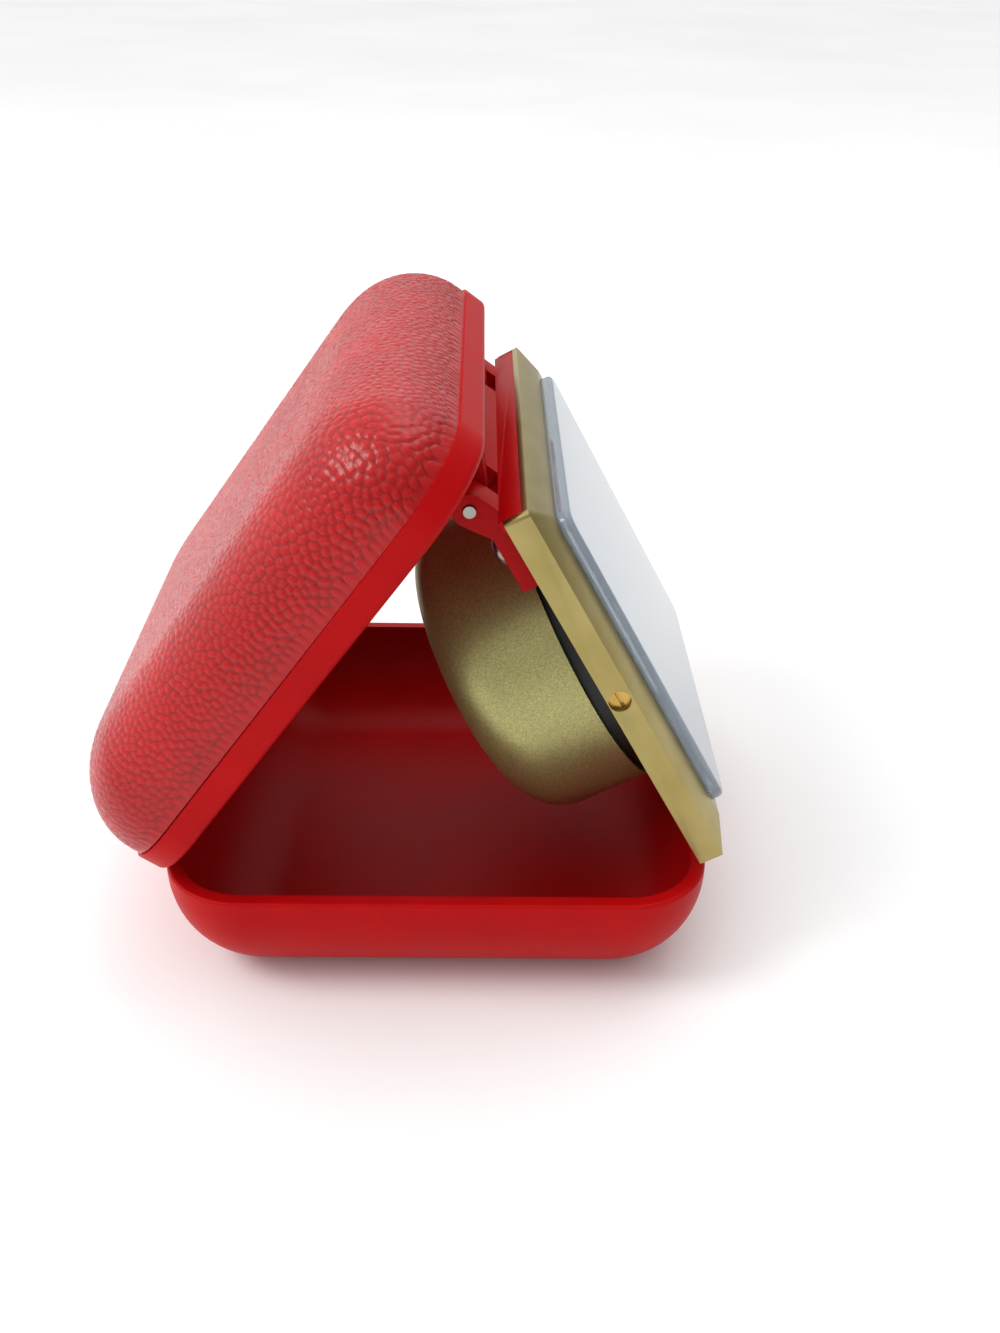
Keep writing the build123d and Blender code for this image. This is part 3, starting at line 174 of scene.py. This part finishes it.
def spread(tree, value, low, high):
    """Value between 0 and 1 spread between two numbers."""
    return add(tree, "MapRange", None, Value=value, To_Min=low, To_Max=high).outputs["Result"]


def raise_surface(tree, surface, height, distance, strength=1.0):
    """Bump from a height between 0 and 1 that is worth a distance in metres."""
    bump = add(tree, "Bump", None, Height=height, Distance=distance, Strength=strength)
    tree.links.new(bump.outputs["Normal"], surface.inputs["Normal"])


# %% [markdown]
# ## Red plastic
#
# The case is moulded polystyrene, coloured right through.  Its smooth parts left a polished mould, but the
# surface waves a little where the plastic shrank, and years of fingers dulled it in patches.  A fine noise
# changes the sheen and a slow one bends the reflections.  The sheen is kept faint on purpose: under a sky
# this broad, full strength would lay a grey film over the red.

# %% Smooth moulded red plastic
def smooth_red():
    finish, tree, surface, place = new_finish("polished_moulded_red_polystyrene")
    patches = grain(tree, place, 9 * MM, 3)
    fine = grain(tree, place, 0.5 * MM, 2)
    colour = ramp(tree, patches, (0.3, "B00408"), (0.7, "BA060A"))
    tree.links.new(colour, surface.inputs["Base Color"])
    dull = add(tree, "Math", {"operation": "ADD"}, _0=spread(tree, patches, 0.38, 0.48),
               _1=spread(tree, fine, -0.03, 0.03)).outputs["Value"]
    tree.links.new(dull, surface.inputs["Roughness"])
    surface.inputs["IOR"].default_value = 1.49
    surface.inputs["Specular IOR Level"].default_value = 0.1
    surface.inputs["Subsurface Weight"].default_value = 0.05
    surface.inputs["Subsurface Radius"].default_value = (0.8, 0.1, 0.08)
    surface.inputs["Subsurface Scale"].default_value = 1 * MM
    waves = grain(tree, place, 3 * MM, 2)
    raise_surface(tree, surface, waves, 0.05 * MM, 0.5)
    return finish


# %% [markdown]
# The covers have a leather grain: raised pebbles with fine creases between them.  The pebbles are real
# shape on the mesh, stored there as an attribute from 0 in a crease to 1 on a pebble, and the finish reads
# it to paint the creases darker than the pebble tops, as painted shade.

# %% Leather-grained red plastic
def grained_red():
    finish, tree, surface, place = new_finish("leather_grained_red_polystyrene")
    pebble = add(tree, "Attribute", {"attribute_name": "pebble"}).outputs["Fac"]
    patches = grain(tree, place, 14 * MM, 2)
    # Painted shade: the red darkens from the pebble tops down into the creases.
    painted_crease_shade = ramp(tree, pebble, (0.0, "8A0206"), (0.45, "AC0408"), (1.0, "BA050A"))
    worn = add(tree, "Mix", {"data_type": "RGBA", "blend_type": "MULTIPLY"}, _0=0.5, _6=painted_crease_shade,
               _7=ramp(tree, patches, (0.35, "D8D8D8"), (0.65, "FFFFFF")))
    tree.links.new(worn.outputs[2], surface.inputs["Base Color"])
    wrinkle = grain(tree, place, 0.35 * MM, 3, 0.6)
    gloss = spread(tree, wrinkle, 0.2, 0.3)
    tree.links.new(gloss, surface.inputs["Roughness"])
    surface.inputs["IOR"].default_value = 1.49
    surface.inputs["Specular IOR Level"].default_value = 0.38
    raise_surface(tree, surface, wrinkle, 0.06 * MM, 0.6)
    return finish


# %% [markdown]
# ## Metals
#
# The bezel is stamped brass under a thin gold-coloured plate with a satin polish, which is rubbed a little
# unevenly and so blurs what it mirrors by a different amount from place to place.  The can is
# sprayed with gold lacquer, whose metal flakes give it a fine grain instead of a mirror.

# %% Gold-plated bezel
def gold_plate():
    finish, tree, surface, place = new_finish("satin_gold_plated_brass")
    patches = grain(tree, place, 6 * MM, 3)
    rubbed = grain(tree, place, 0.2 * MM, 3, 0.6)
    colour = ramp(tree, patches, (0.3, "9F8F57"), (0.7, "AA9A64"))
    tree.links.new(colour, surface.inputs["Base Color"])
    surface.inputs["Metallic"].default_value = 1
    tree.links.new(spread(tree, rubbed, 0.26, 0.38), surface.inputs["Roughness"])
    raise_surface(tree, surface, rubbed, 0.01 * MM, 0.4)
    return finish


# %% Gold-lacquered can
def gold_lacquer():
    finish, tree, surface, place = new_finish("sprayed_gold_flake_lacquer")
    flakes = add(tree, "TexVoronoi", None, Vector=place, Scale=1 / (0.14 * MM))
    patches = grain(tree, place, 8 * MM, 2)
    shade = add(tree, "SeparateColor", None, Color=flakes.outputs["Color"]).outputs["Red"]
    colour = ramp(tree, shade, (0.0, "A09B62"), (0.6, "B2AD72"), (1.0, "C4BE84"))
    tree.links.new(colour, surface.inputs["Base Color"])
    surface.inputs["Metallic"].default_value = 0.75
    tree.links.new(spread(tree, patches, 0.36, 0.46), surface.inputs["Roughness"])
    raise_surface(tree, surface, shade, 0.012 * MM, 0.5)
    return finish


# %% Plain metals of the movement, hinges and screws
def worked_metal(name, dark, light, low_gloss, high_gloss, line_width, stretch):
    """Metal with fine working marks: two shades, two roughnesses and the width and run of its lines."""
    finish, tree, surface, place = new_finish(name)
    lines = grain(tree, place, line_width, 3, 0.6, stretch)
    cloud = grain(tree, place, 4 * MM, 2)
    tree.links.new(ramp(tree, cloud, (0.3, dark), (0.7, light)), surface.inputs["Base Color"])
    surface.inputs["Metallic"].default_value = 1
    tree.links.new(spread(tree, lines, low_gloss, high_gloss), surface.inputs["Roughness"])
    raise_surface(tree, surface, lines, 0.01 * MM, 0.4)
    return finish


# %% [markdown]
# ## Clear acrylic, silvered dial and paints
#
# The crystal is moulded acrylic with a trace of blue that shows at its edges, where light runs a long way
# through it.  The dial under it is matt silvered paper.  The parts behind the dial and the knobs are black
# moulded plastic, and the hands are lacquered sheet.

# %% Clear acrylic crystal
def clear_acrylic():
    finish, tree, surface, place = new_finish("clear_moulded_acrylic")
    film = grain(tree, place, 3 * MM, 4, 0.6)
    tree.links.new(ramp(tree, film, (0.3, "CFDCEA"), (0.7, "DCE7F1")), surface.inputs["Base Color"])
    tree.links.new(spread(tree, film, 0.03, 0.1), surface.inputs["Roughness"])
    surface.inputs["Transmission Weight"].default_value = 0.72
    surface.inputs["IOR"].default_value = 1.49
    return finish


# %% Paper, plastic and lacquer
def coloured(name, dark, light, low_gloss, high_gloss, lump, relief):
    """Non-metal with a cloudy shade, a cloudy gloss and a fine texture."""
    finish, tree, surface, place = new_finish(name)
    cloud = grain(tree, place, lump, 3)
    fine = grain(tree, place, 0.15 * MM, 2)
    tree.links.new(ramp(tree, cloud, (0.3, dark), (0.7, light)), surface.inputs["Base Color"])
    tree.links.new(spread(tree, cloud, low_gloss, high_gloss), surface.inputs["Roughness"])
    raise_surface(tree, surface, fine, relief, 0.5)
    return finish


# %% Give every slot its finish
finishes = {
    "smooth_red_plastic": smooth_red(),
    "grained_red_plastic": grained_red(),
    "gold_plated_bezel": gold_plate(),
    "gold_lacquered_can": gold_lacquer(),
    "clear_crystal": clear_acrylic(),
    "silvered_dial": coloured("matt_silvered_paper", "7C8588", "868F92", 0.45, 0.6, 5 * MM, 0.004 * MM),
    "black_plastic": coloured("black_moulded_abs", "0C0B0B", "151413", 0.4, 0.55, 3 * MM, 0.01 * MM),
    "black_hands": coloured("black_lacquered_steel", "08080A", "101012", 0.2, 0.3, 2 * MM, 0.003 * MM),
    "red_alarm_hand": coloured("red_lacquered_brass", "8E0A0C", "A31114", 0.25, 0.35, 2 * MM, 0.003 * MM),
    "nickel_steel": worked_metal("nickel_plated_steel", "8E8A82", "A6A298", 0.24, 0.38, 0.2 * MM,
                                 (1, 1, 1)),
    "steel": worked_metal("drawn_steel", "7E8084", "989A9E", 0.25, 0.4, 0.15 * MM, (1, 0.1, 1)),
    "brass": worked_metal("milled_brass", "B08D45", "C9A55C", 0.2, 0.36, 0.2 * MM, (1, 0.1, 1)),
}
for row in frame["record"]["subparts"]:
    node = nodes[row["node"]]
    node.data.materials.clear()
    node.data.materials.append(finishes[row["material_slot"]])
print("finishes", sorted(finish.name for finish in finishes.values()))

# %% [markdown]
# ## The leather-grained cover
#
# The rear cover is a dished shell that an injection mould gave a leather grain.  A fine grid is folded over
# the dish like cloth over a tray, so that its squares stay even round the corners and the grain has
# somewhere to be: the outer rows of the grid become the curved sides, and the middle becomes the flat back.

# %% Size of the cover
cover_low, cover_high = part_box("rear_shell_cover")
cover_up = along("rear_shell_cover", shell_up)
rim_out = along("rear_shell_rim", shell_out)
cover_out = along("rear_shell_cover", shell_out)
half_length = (cover_up[1] - cover_up[0]) / 2
half_width = (cover_high.y - cover_low.y) / 2
cover_centre = shell_up * (sum(cover_up) / 2) + shell_out * rim_out[1]
edge_band = 1.2 * MM
cover_depth = cover_out[1] - rim_out[1]
cover_wall = 2.0 * MM
side_run = 12.6 * MM
rim_corner = 11.1 * MM
back_corner = 3.6 * MM
print("cover", [round(side / MM, 2) for side in (2 * half_length, 2 * half_width, cover_depth)], "mm")


# %% Fold a grid over the dish
def rounded_edge(share, half_x, half_y, corner, swap):
    """Point on a rounded rectangle, from the middle of one corner at -1 to the next at 1."""
    half_x, half_y = np.where(swap, half_y, half_x), np.where(swap, half_x, half_y)
    straight = half_y - corner
    total = straight + corner * math.pi / 4
    run = np.abs(share) * total
    turn = np.clip((run - straight) / corner, 0, None)
    x = np.where(run <= straight, half_x, half_x - corner + corner * np.cos(turn))
    y = np.sign(share) * np.where(run <= straight, run, straight + corner * np.sin(turn))
    return x, y


def dished_grid(name, flat_cells, side_rows, inset, floor):
    """Grid folded over the dish: flat in the middle, its outer rows curving round to a straight band."""
    cells = flat_cells + 2 * side_rows
    deselect()
    bpy.ops.mesh.primitive_grid_add(x_subdivisions=cells, y_subdivisions=cells, size=2)
    sheet = bpy.context.object
    sheet.name = name
    count = len(sheet.data.vertices)
    flat = np.zeros(count * 3)
    sheet.data.vertices.foreach_get("co", flat)
    steps = np.rint(flat.reshape(-1, 3)[:, :2] * cells / 2)
    reach = np.maximum(np.abs(steps).max(axis=1), 1e-9)
    swap = np.abs(steps[:, 1]) > np.abs(steps[:, 0])
    main, other = np.where(swap, steps[:, 1], steps[:, 0]), np.where(swap, steps[:, 0], steps[:, 1])
    share = other / reach
    row = np.clip(reach - flat_cells / 2, 0, side_rows) / side_rows
    band_row = 1 - 1 / side_rows
    turn = np.clip((1 - row / band_row) * math.pi / 2, 0, math.pi / 2)
    pulled_in = side_run * (1 - np.cos(turn))
    blend = pulled_in / side_run
    corner = (rim_corner - inset) * (1 - blend) + back_corner * blend
    x, y = rounded_edge(share, half_length - inset - pulled_in, half_width - inset - pulled_in, corner,
                        swap)
    scale = np.minimum(reach / (flat_cells / 2), 1)
    x, y = np.sign(main) * x * scale, y * scale
    x, y = np.where(swap, y, x), np.where(swap, x, y)
    rise = edge_band + (floor - edge_band) * np.sin(turn)
    rise = np.where(row >= 1, 0, rise)
    points = np.outer(x, shell_up) + np.outer(y, across) + np.outer(rise, shell_out)
    points = points + np.array(cover_centre)
    sheet.data.vertices.foreach_set("co", points.ravel())
    sheet.data.update()
    return sheet


outer = dished_grid("leather_grained_cover", 176, 58, 0, cover_depth)
inner = dished_grid("cover_inside", 40, 14, cover_wall, cover_depth - cover_wall)
take(outer)
wrap = outer.modifiers.new("lie on the dish", "SHRINKWRAP")
wrap.target = nodes["rear_shell_cover"]
bpy.ops.object.modifier_apply(modifier=wrap.name)
print("outer sheet has", len(outer.data.vertices), "points, inner has", len(inner.data.vertices))

# %% [markdown]
# Leather pebbles are packed cells of uneven size.  Their middles are dropped at random on the sheet, none
# closer than a set distance, which is smaller towards the top, where the grain is denser.  A point that is
# equally far from its two nearest middles lies in a crease, so the difference of those two distances is
# the grain's shape.  Everything moves inwards, and the tops of the pebbles stay on the dish.

# %% Scatter the pebbles
pebble_apart = 1.05 * MM
top_apart = 0.85 * MM
crease_half = 0.28 * MM
crease_depth = 0.18 * MM
seam_fade = 0.9 * MM
top_depth_loss = 0.45
dice = random.Random(5)
take(outer)
bpy.ops.object.mode_set(mode="EDIT")
bpy.ops.mesh.select_all(action="SELECT")
bpy.ops.mesh.normals_make_consistent(inside=False)
bpy.ops.object.mode_set(mode="OBJECT")
spots = [vertex.co.copy() for vertex in outer.data.vertices]
order = list(range(len(spots)))
dice.shuffle(order)
middles, taken = [], {}
for index in order:
    spot = spots[index] + Vector([dice.uniform(-0.15, 0.15) * MM for part in range(3)])
    height = (spot.dot(shell_up) - cover_up[0]) / (2 * half_length)
    apart = pebble_apart + (top_apart - pebble_apart) * min(max(height, 0), 1)
    home = tuple(int(part // pebble_apart) for part in spot)
    near = (taken.get((home[0] + i, home[1] + j, home[2] + k), ())
            for i in (-1, 0, 1) for j in (-1, 0, 1) for k in (-1, 0, 1))
    if all((spot - other).length >= apart for group in near for other in group):
        taken.setdefault(home, []).append(spot)
        middles.append(spot)
tree_of_middles = kdtree.KDTree(len(middles))
for index, spot in enumerate(middles):
    tree_of_middles.insert(spot, index)
tree_of_middles.balance()
print("pebbles", len(middles))

# %% Press the creases in
def smooth_step(value):
    value = min(max(value, 0), 1)
    return value * value * (3 - 2 * value)


facing = [vertex.normal.copy() for vertex in outer.data.vertices]
pebble_of = []
for index, spot in enumerate(spots):
    first, second = tree_of_middles.find_n(spot, 2)
    edge = (second[2] - first[2]) / 2
    top = smooth_step(edge / crease_half)
    from_seam = (spot.dot(shell_out) - rim_out[1]) / seam_fade
    height = (spot.dot(shell_up) - cover_up[0]) / (2 * half_length)
    depth = crease_depth * (1 - top_depth_loss * min(max(height, 0), 1)) * smooth_step(from_seam)
    outer.data.vertices[index].co = spot - facing[index] * depth * (1 - top)
    pebble_of.append(1 - (1 - top) * smooth_step(from_seam))
outer.data.update()

# %% Close the shell with its inner wall
take(inner)
bpy.ops.object.mode_set(mode="EDIT")
bpy.ops.mesh.select_all(action="SELECT")
bpy.ops.mesh.normals_make_consistent(inside=False)
bpy.ops.mesh.flip_normals()
bpy.ops.object.mode_set(mode="OBJECT")
for sheet, values in ((outer, pebble_of), (inner, [0.6] * len(inner.data.vertices))):
    heights = sheet.data.attributes.new("pebble", "FLOAT", "POINT")
    heights.data.foreach_set("value", values)
deselect()
inner.select_set(True)
outer.select_set(True)
bpy.context.view_layer.objects.active = outer
bpy.ops.object.join()
bpy.ops.object.mode_set(mode="EDIT")
bpy.ops.mesh.select_mode(type="EDGE")
bpy.ops.mesh.select_all(action="DESELECT")
bpy.ops.mesh.select_non_manifold(extend=False, use_wire=False, use_boundary=True, use_multi_face=False,
                                 use_non_contiguous=False, use_verts=False)
bpy.ops.mesh.bridge_edge_loops()
bpy.ops.mesh.select_all(action="SELECT")
bpy.ops.mesh.normals_make_consistent(inside=False)
bpy.ops.object.mode_set(mode="OBJECT")
bpy.ops.object.shade_smooth_by_angle(angle=math.radians(50))
cover = outer
cover.data.materials.clear()
cover.data.materials.append(finishes["grained_red_plastic"])
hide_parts("rear_shell_cover")
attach(cover, "rear_shell")
print("cover has", len(cover.data.polygons), "faces")

# %% [markdown]
# ## The printed dial
#
# The dial has a ring of minute marks and twelve numbers.  One mark is modelled as a thin bar and copied
# round the dial, and the numbers are text turned into mesh, standing as proud as a layer of ink.

# %% Dial frame and helpers
dial_face = along("dial", dial_out)[1]
ink = 0.03 * MM
face_middle = dial_centre + dial_out * (dial_face - dial_centre.dot(dial_out))
upright = Matrix((across, -dial_down, dial_out)).transposed().to_4x4()
dial_matrix = Matrix.Translation(face_middle) @ upright
ink_finish = coloured("black_printing_ink", "101216", "1A1C22", 0.4, 0.55, 1 * MM, 0.002 * MM)


def settle(piece, name, finish, body):
    """Bakes a piece's place into its mesh, names it, paints it and gives it its body."""
    take(piece)
    bpy.ops.object.transform_apply(location=True, rotation=True, scale=True)
    piece.name = name
    piece.data.materials.clear()
    piece.data.materials.append(finish)
    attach(piece, body)
    return piece


# %% Minute marks
track_radius = 21.0 * MM
marks = []
for minute in range(60):
    turn = math.radians(6 * minute)
    long_mark = minute % 5 == 0
    deselect()
    bpy.ops.mesh.primitive_cube_add(size=1)
    mark = bpy.context.object
    mark.scale = ((0.5 if long_mark else 0.2) * MM, (2.0 if long_mark else 1.1) * MM, ink)
    bpy.ops.object.transform_apply(location=False, rotation=False, scale=True)
    bpy.ops.object.mode_set(mode="EDIT")
    bpy.ops.mesh.bevel(offset=ink / 4, segments=1)
    bpy.ops.object.mode_set(mode="OBJECT")
    out_to_track = Matrix.Translation((0, track_radius, ink / 2))
    mark.matrix_world = dial_matrix @ Matrix.Rotation(-turn, 4, "Z") @ out_to_track
    marks.append(mark)
deselect()
for mark in marks:
    mark.select_set(True)
bpy.context.view_layer.objects.active = marks[0]
bpy.ops.object.join()
settle(marks[0], "dial_minute_marks", ink_finish, "clock_unit")

# %% Numbers
number_radius_mm = 16.6
number_size = 6.2 * MM
numbers = []
for hour in range(1, 13):
    turn = math.radians(30 * hour)
    deselect()
    bpy.ops.object.text_add()
    number = bpy.context.object
    number.data.body = str(hour)
    number.data.size = number_size
    number.data.extrude = ink / 2
    number.data.align_x = "CENTER"
    number.data.align_y = "CENTER"
    number.data.resolution_u = 4
    spot = Vector((math.sin(turn), math.cos(turn), 0)) * number_radius_mm * MM + Vector((0, 0, ink / 2))
    number.matrix_world = dial_matrix @ Matrix.Translation(spot)
    take(number)
    bpy.ops.object.convert(target="MESH")
    numbers.append(bpy.context.object)
deselect()
for number in numbers:
    number.select_set(True)
bpy.context.view_layer.objects.active = numbers[0]
bpy.ops.object.join()
settle(numbers[0], "dial_numbers", ink_finish, "clock_unit")

# %% [markdown]
# ## Eased edges
#
# No real edge is sharp: a stamped bezel and a moulded rim turn over a tenth of a millimetre, and that
# narrow strip is what catches the light.  A copy of the part is merged, its flat areas are joined and its
# sharp edges bevelled, and the copy stands for the part.

# %% Bevel the edges that catch the light
def eased(node, name, width):
    """Copy of a part with its sharp edges rounded over by a width, in metres."""
    source = nodes[node]
    deselect()
    piece = source.copy()
    piece.data = source.data.copy()
    for key in list(piece.keys()):
        del piece[key]
    piece.parent = None
    bpy.context.scene.collection.objects.link(piece)
    take(piece)
    bpy.ops.object.mode_set(mode="EDIT")
    bpy.ops.mesh.select_all(action="SELECT")
    bpy.ops.mesh.remove_doubles(threshold=0.002 * MM)
    bpy.ops.mesh.dissolve_limited(angle_limit=math.radians(0.6))
    bpy.ops.object.mode_set(mode="OBJECT")
    bevel = piece.modifiers.new("eased edges", "BEVEL")
    bevel.width = width
    bevel.segments = 2
    bevel.limit_method = "ANGLE"
    bevel.angle_limit = math.radians(32)
    bevel.harden_normals = False
    bpy.ops.object.modifier_apply(modifier=bevel.name)
    bpy.ops.object.shade_smooth_by_angle(angle=math.radians(32))
    piece.name = name
    body = next(body for body, members in frame["record"]["behaviour"]["bodies"].items() if node in members)
    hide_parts(node)
    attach(piece, body)
    print(name, "has", len(piece.data.polygons), "faces")
    return piece


eased("bezel", "satin_gold_bezel", 0.12 * MM)
eased("hinge_bracket", "moulded_hinge_bracket", 0.2 * MM)

# %% [markdown]
# ## Floor, light and camera
#
# A pale table under a soft white sky shows the red and the gold plainly.  The camera stands to the side of
# the open clock and looks down on it.

# %% Floor
deselect()
bpy.ops.mesh.primitive_plane_add(size=6, location=(0, 0, cad_low.z))
floor = bpy.context.object
floor.name = "pale_table"
bpy.ops.object.transform_apply(location=True)
floor.data.materials.append(coloured("matt_white_table", "F4F4F4", "FAFAFA", 0.7, 0.8, 0.2, 0.01 * MM))

# %% Light
room_dark, room_bright = 0.36, 1.2
world = bpy.data.worlds.new("soft_sky")
bpy.context.scene.world = world
world.use_nodes = True
sky = world.node_tree
look = add(sky, "TexCoord").outputs["Generated"]
window_side = Vector((-0.55, 0.3, 0.78))
facing_window = add(sky, "VectorMath", {"operation": "DOT_PRODUCT"}, _0=look,
                    _1=window_side).outputs["Value"]
glow = add(sky, "MapRange", {"interpolation_type": "SMOOTHSTEP"}, Value=facing_window, From_Min=-0.25,
           From_Max=0.85, To_Min=room_dark, To_Max=room_bright).outputs["Result"]
sky.nodes["Background"].inputs["Color"].default_value = (1, 1, 1, 1)
sky.links.new(glow, sky.nodes["Background"].inputs["Strength"])


def soft_light(name, place, size, power):
    """Square soft box, aimed at the middle of the clock."""
    light = bpy.data.lights.new(name, "AREA")
    light.size = size
    light.energy = power
    lamp = bpy.data.objects.new(name, light)
    bpy.context.scene.collection.objects.link(lamp)
    lamp.location = place
    lamp.rotation_mode = "QUATERNION"
    lamp.rotation_quaternion = (Vector((0, 0, 0.04)) - lamp.location).to_track_quat("-Z", "Y")


soft_light("window_on_the_left", (-0.45, -0.15, 0.5), 0.25, 1.6)
soft_light("ceiling", (0.1, 0.2, 0.8), 0.5, 1.2)
bpy.context.scene.view_settings.view_transform = "Standard"

# %% Camera
camera_place = Vector((5.31, -179.36, 135.98)) * MM
down, turned, rolled = math.radians(30.289), math.radians(1.165), math.radians(1.173)
ahead = Vector((math.sin(turned) * math.cos(down), math.cos(turned) * math.cos(down), -math.sin(down)))
right = Vector((math.cos(turned), -math.sin(turned), 0))
above = right.cross(ahead)
level = right * math.cos(rolled) + above * math.sin(rolled)
upwards = above * math.cos(rolled) - right * math.sin(rolled)
camera_data = bpy.data.cameras.new("camera")
camera_data.lens = 36.22
camera_data.sensor_width = 36
camera_data.clip_start = 0.01
camera = bpy.data.objects.new("camera", camera_data)
bpy.context.scene.collection.objects.link(camera)
camera_turn = Matrix((level, upwards, -ahead)).transposed().to_4x4()
camera.matrix_world = Matrix.Translation(camera_place) @ camera_turn
bpy.context.scene.camera = camera
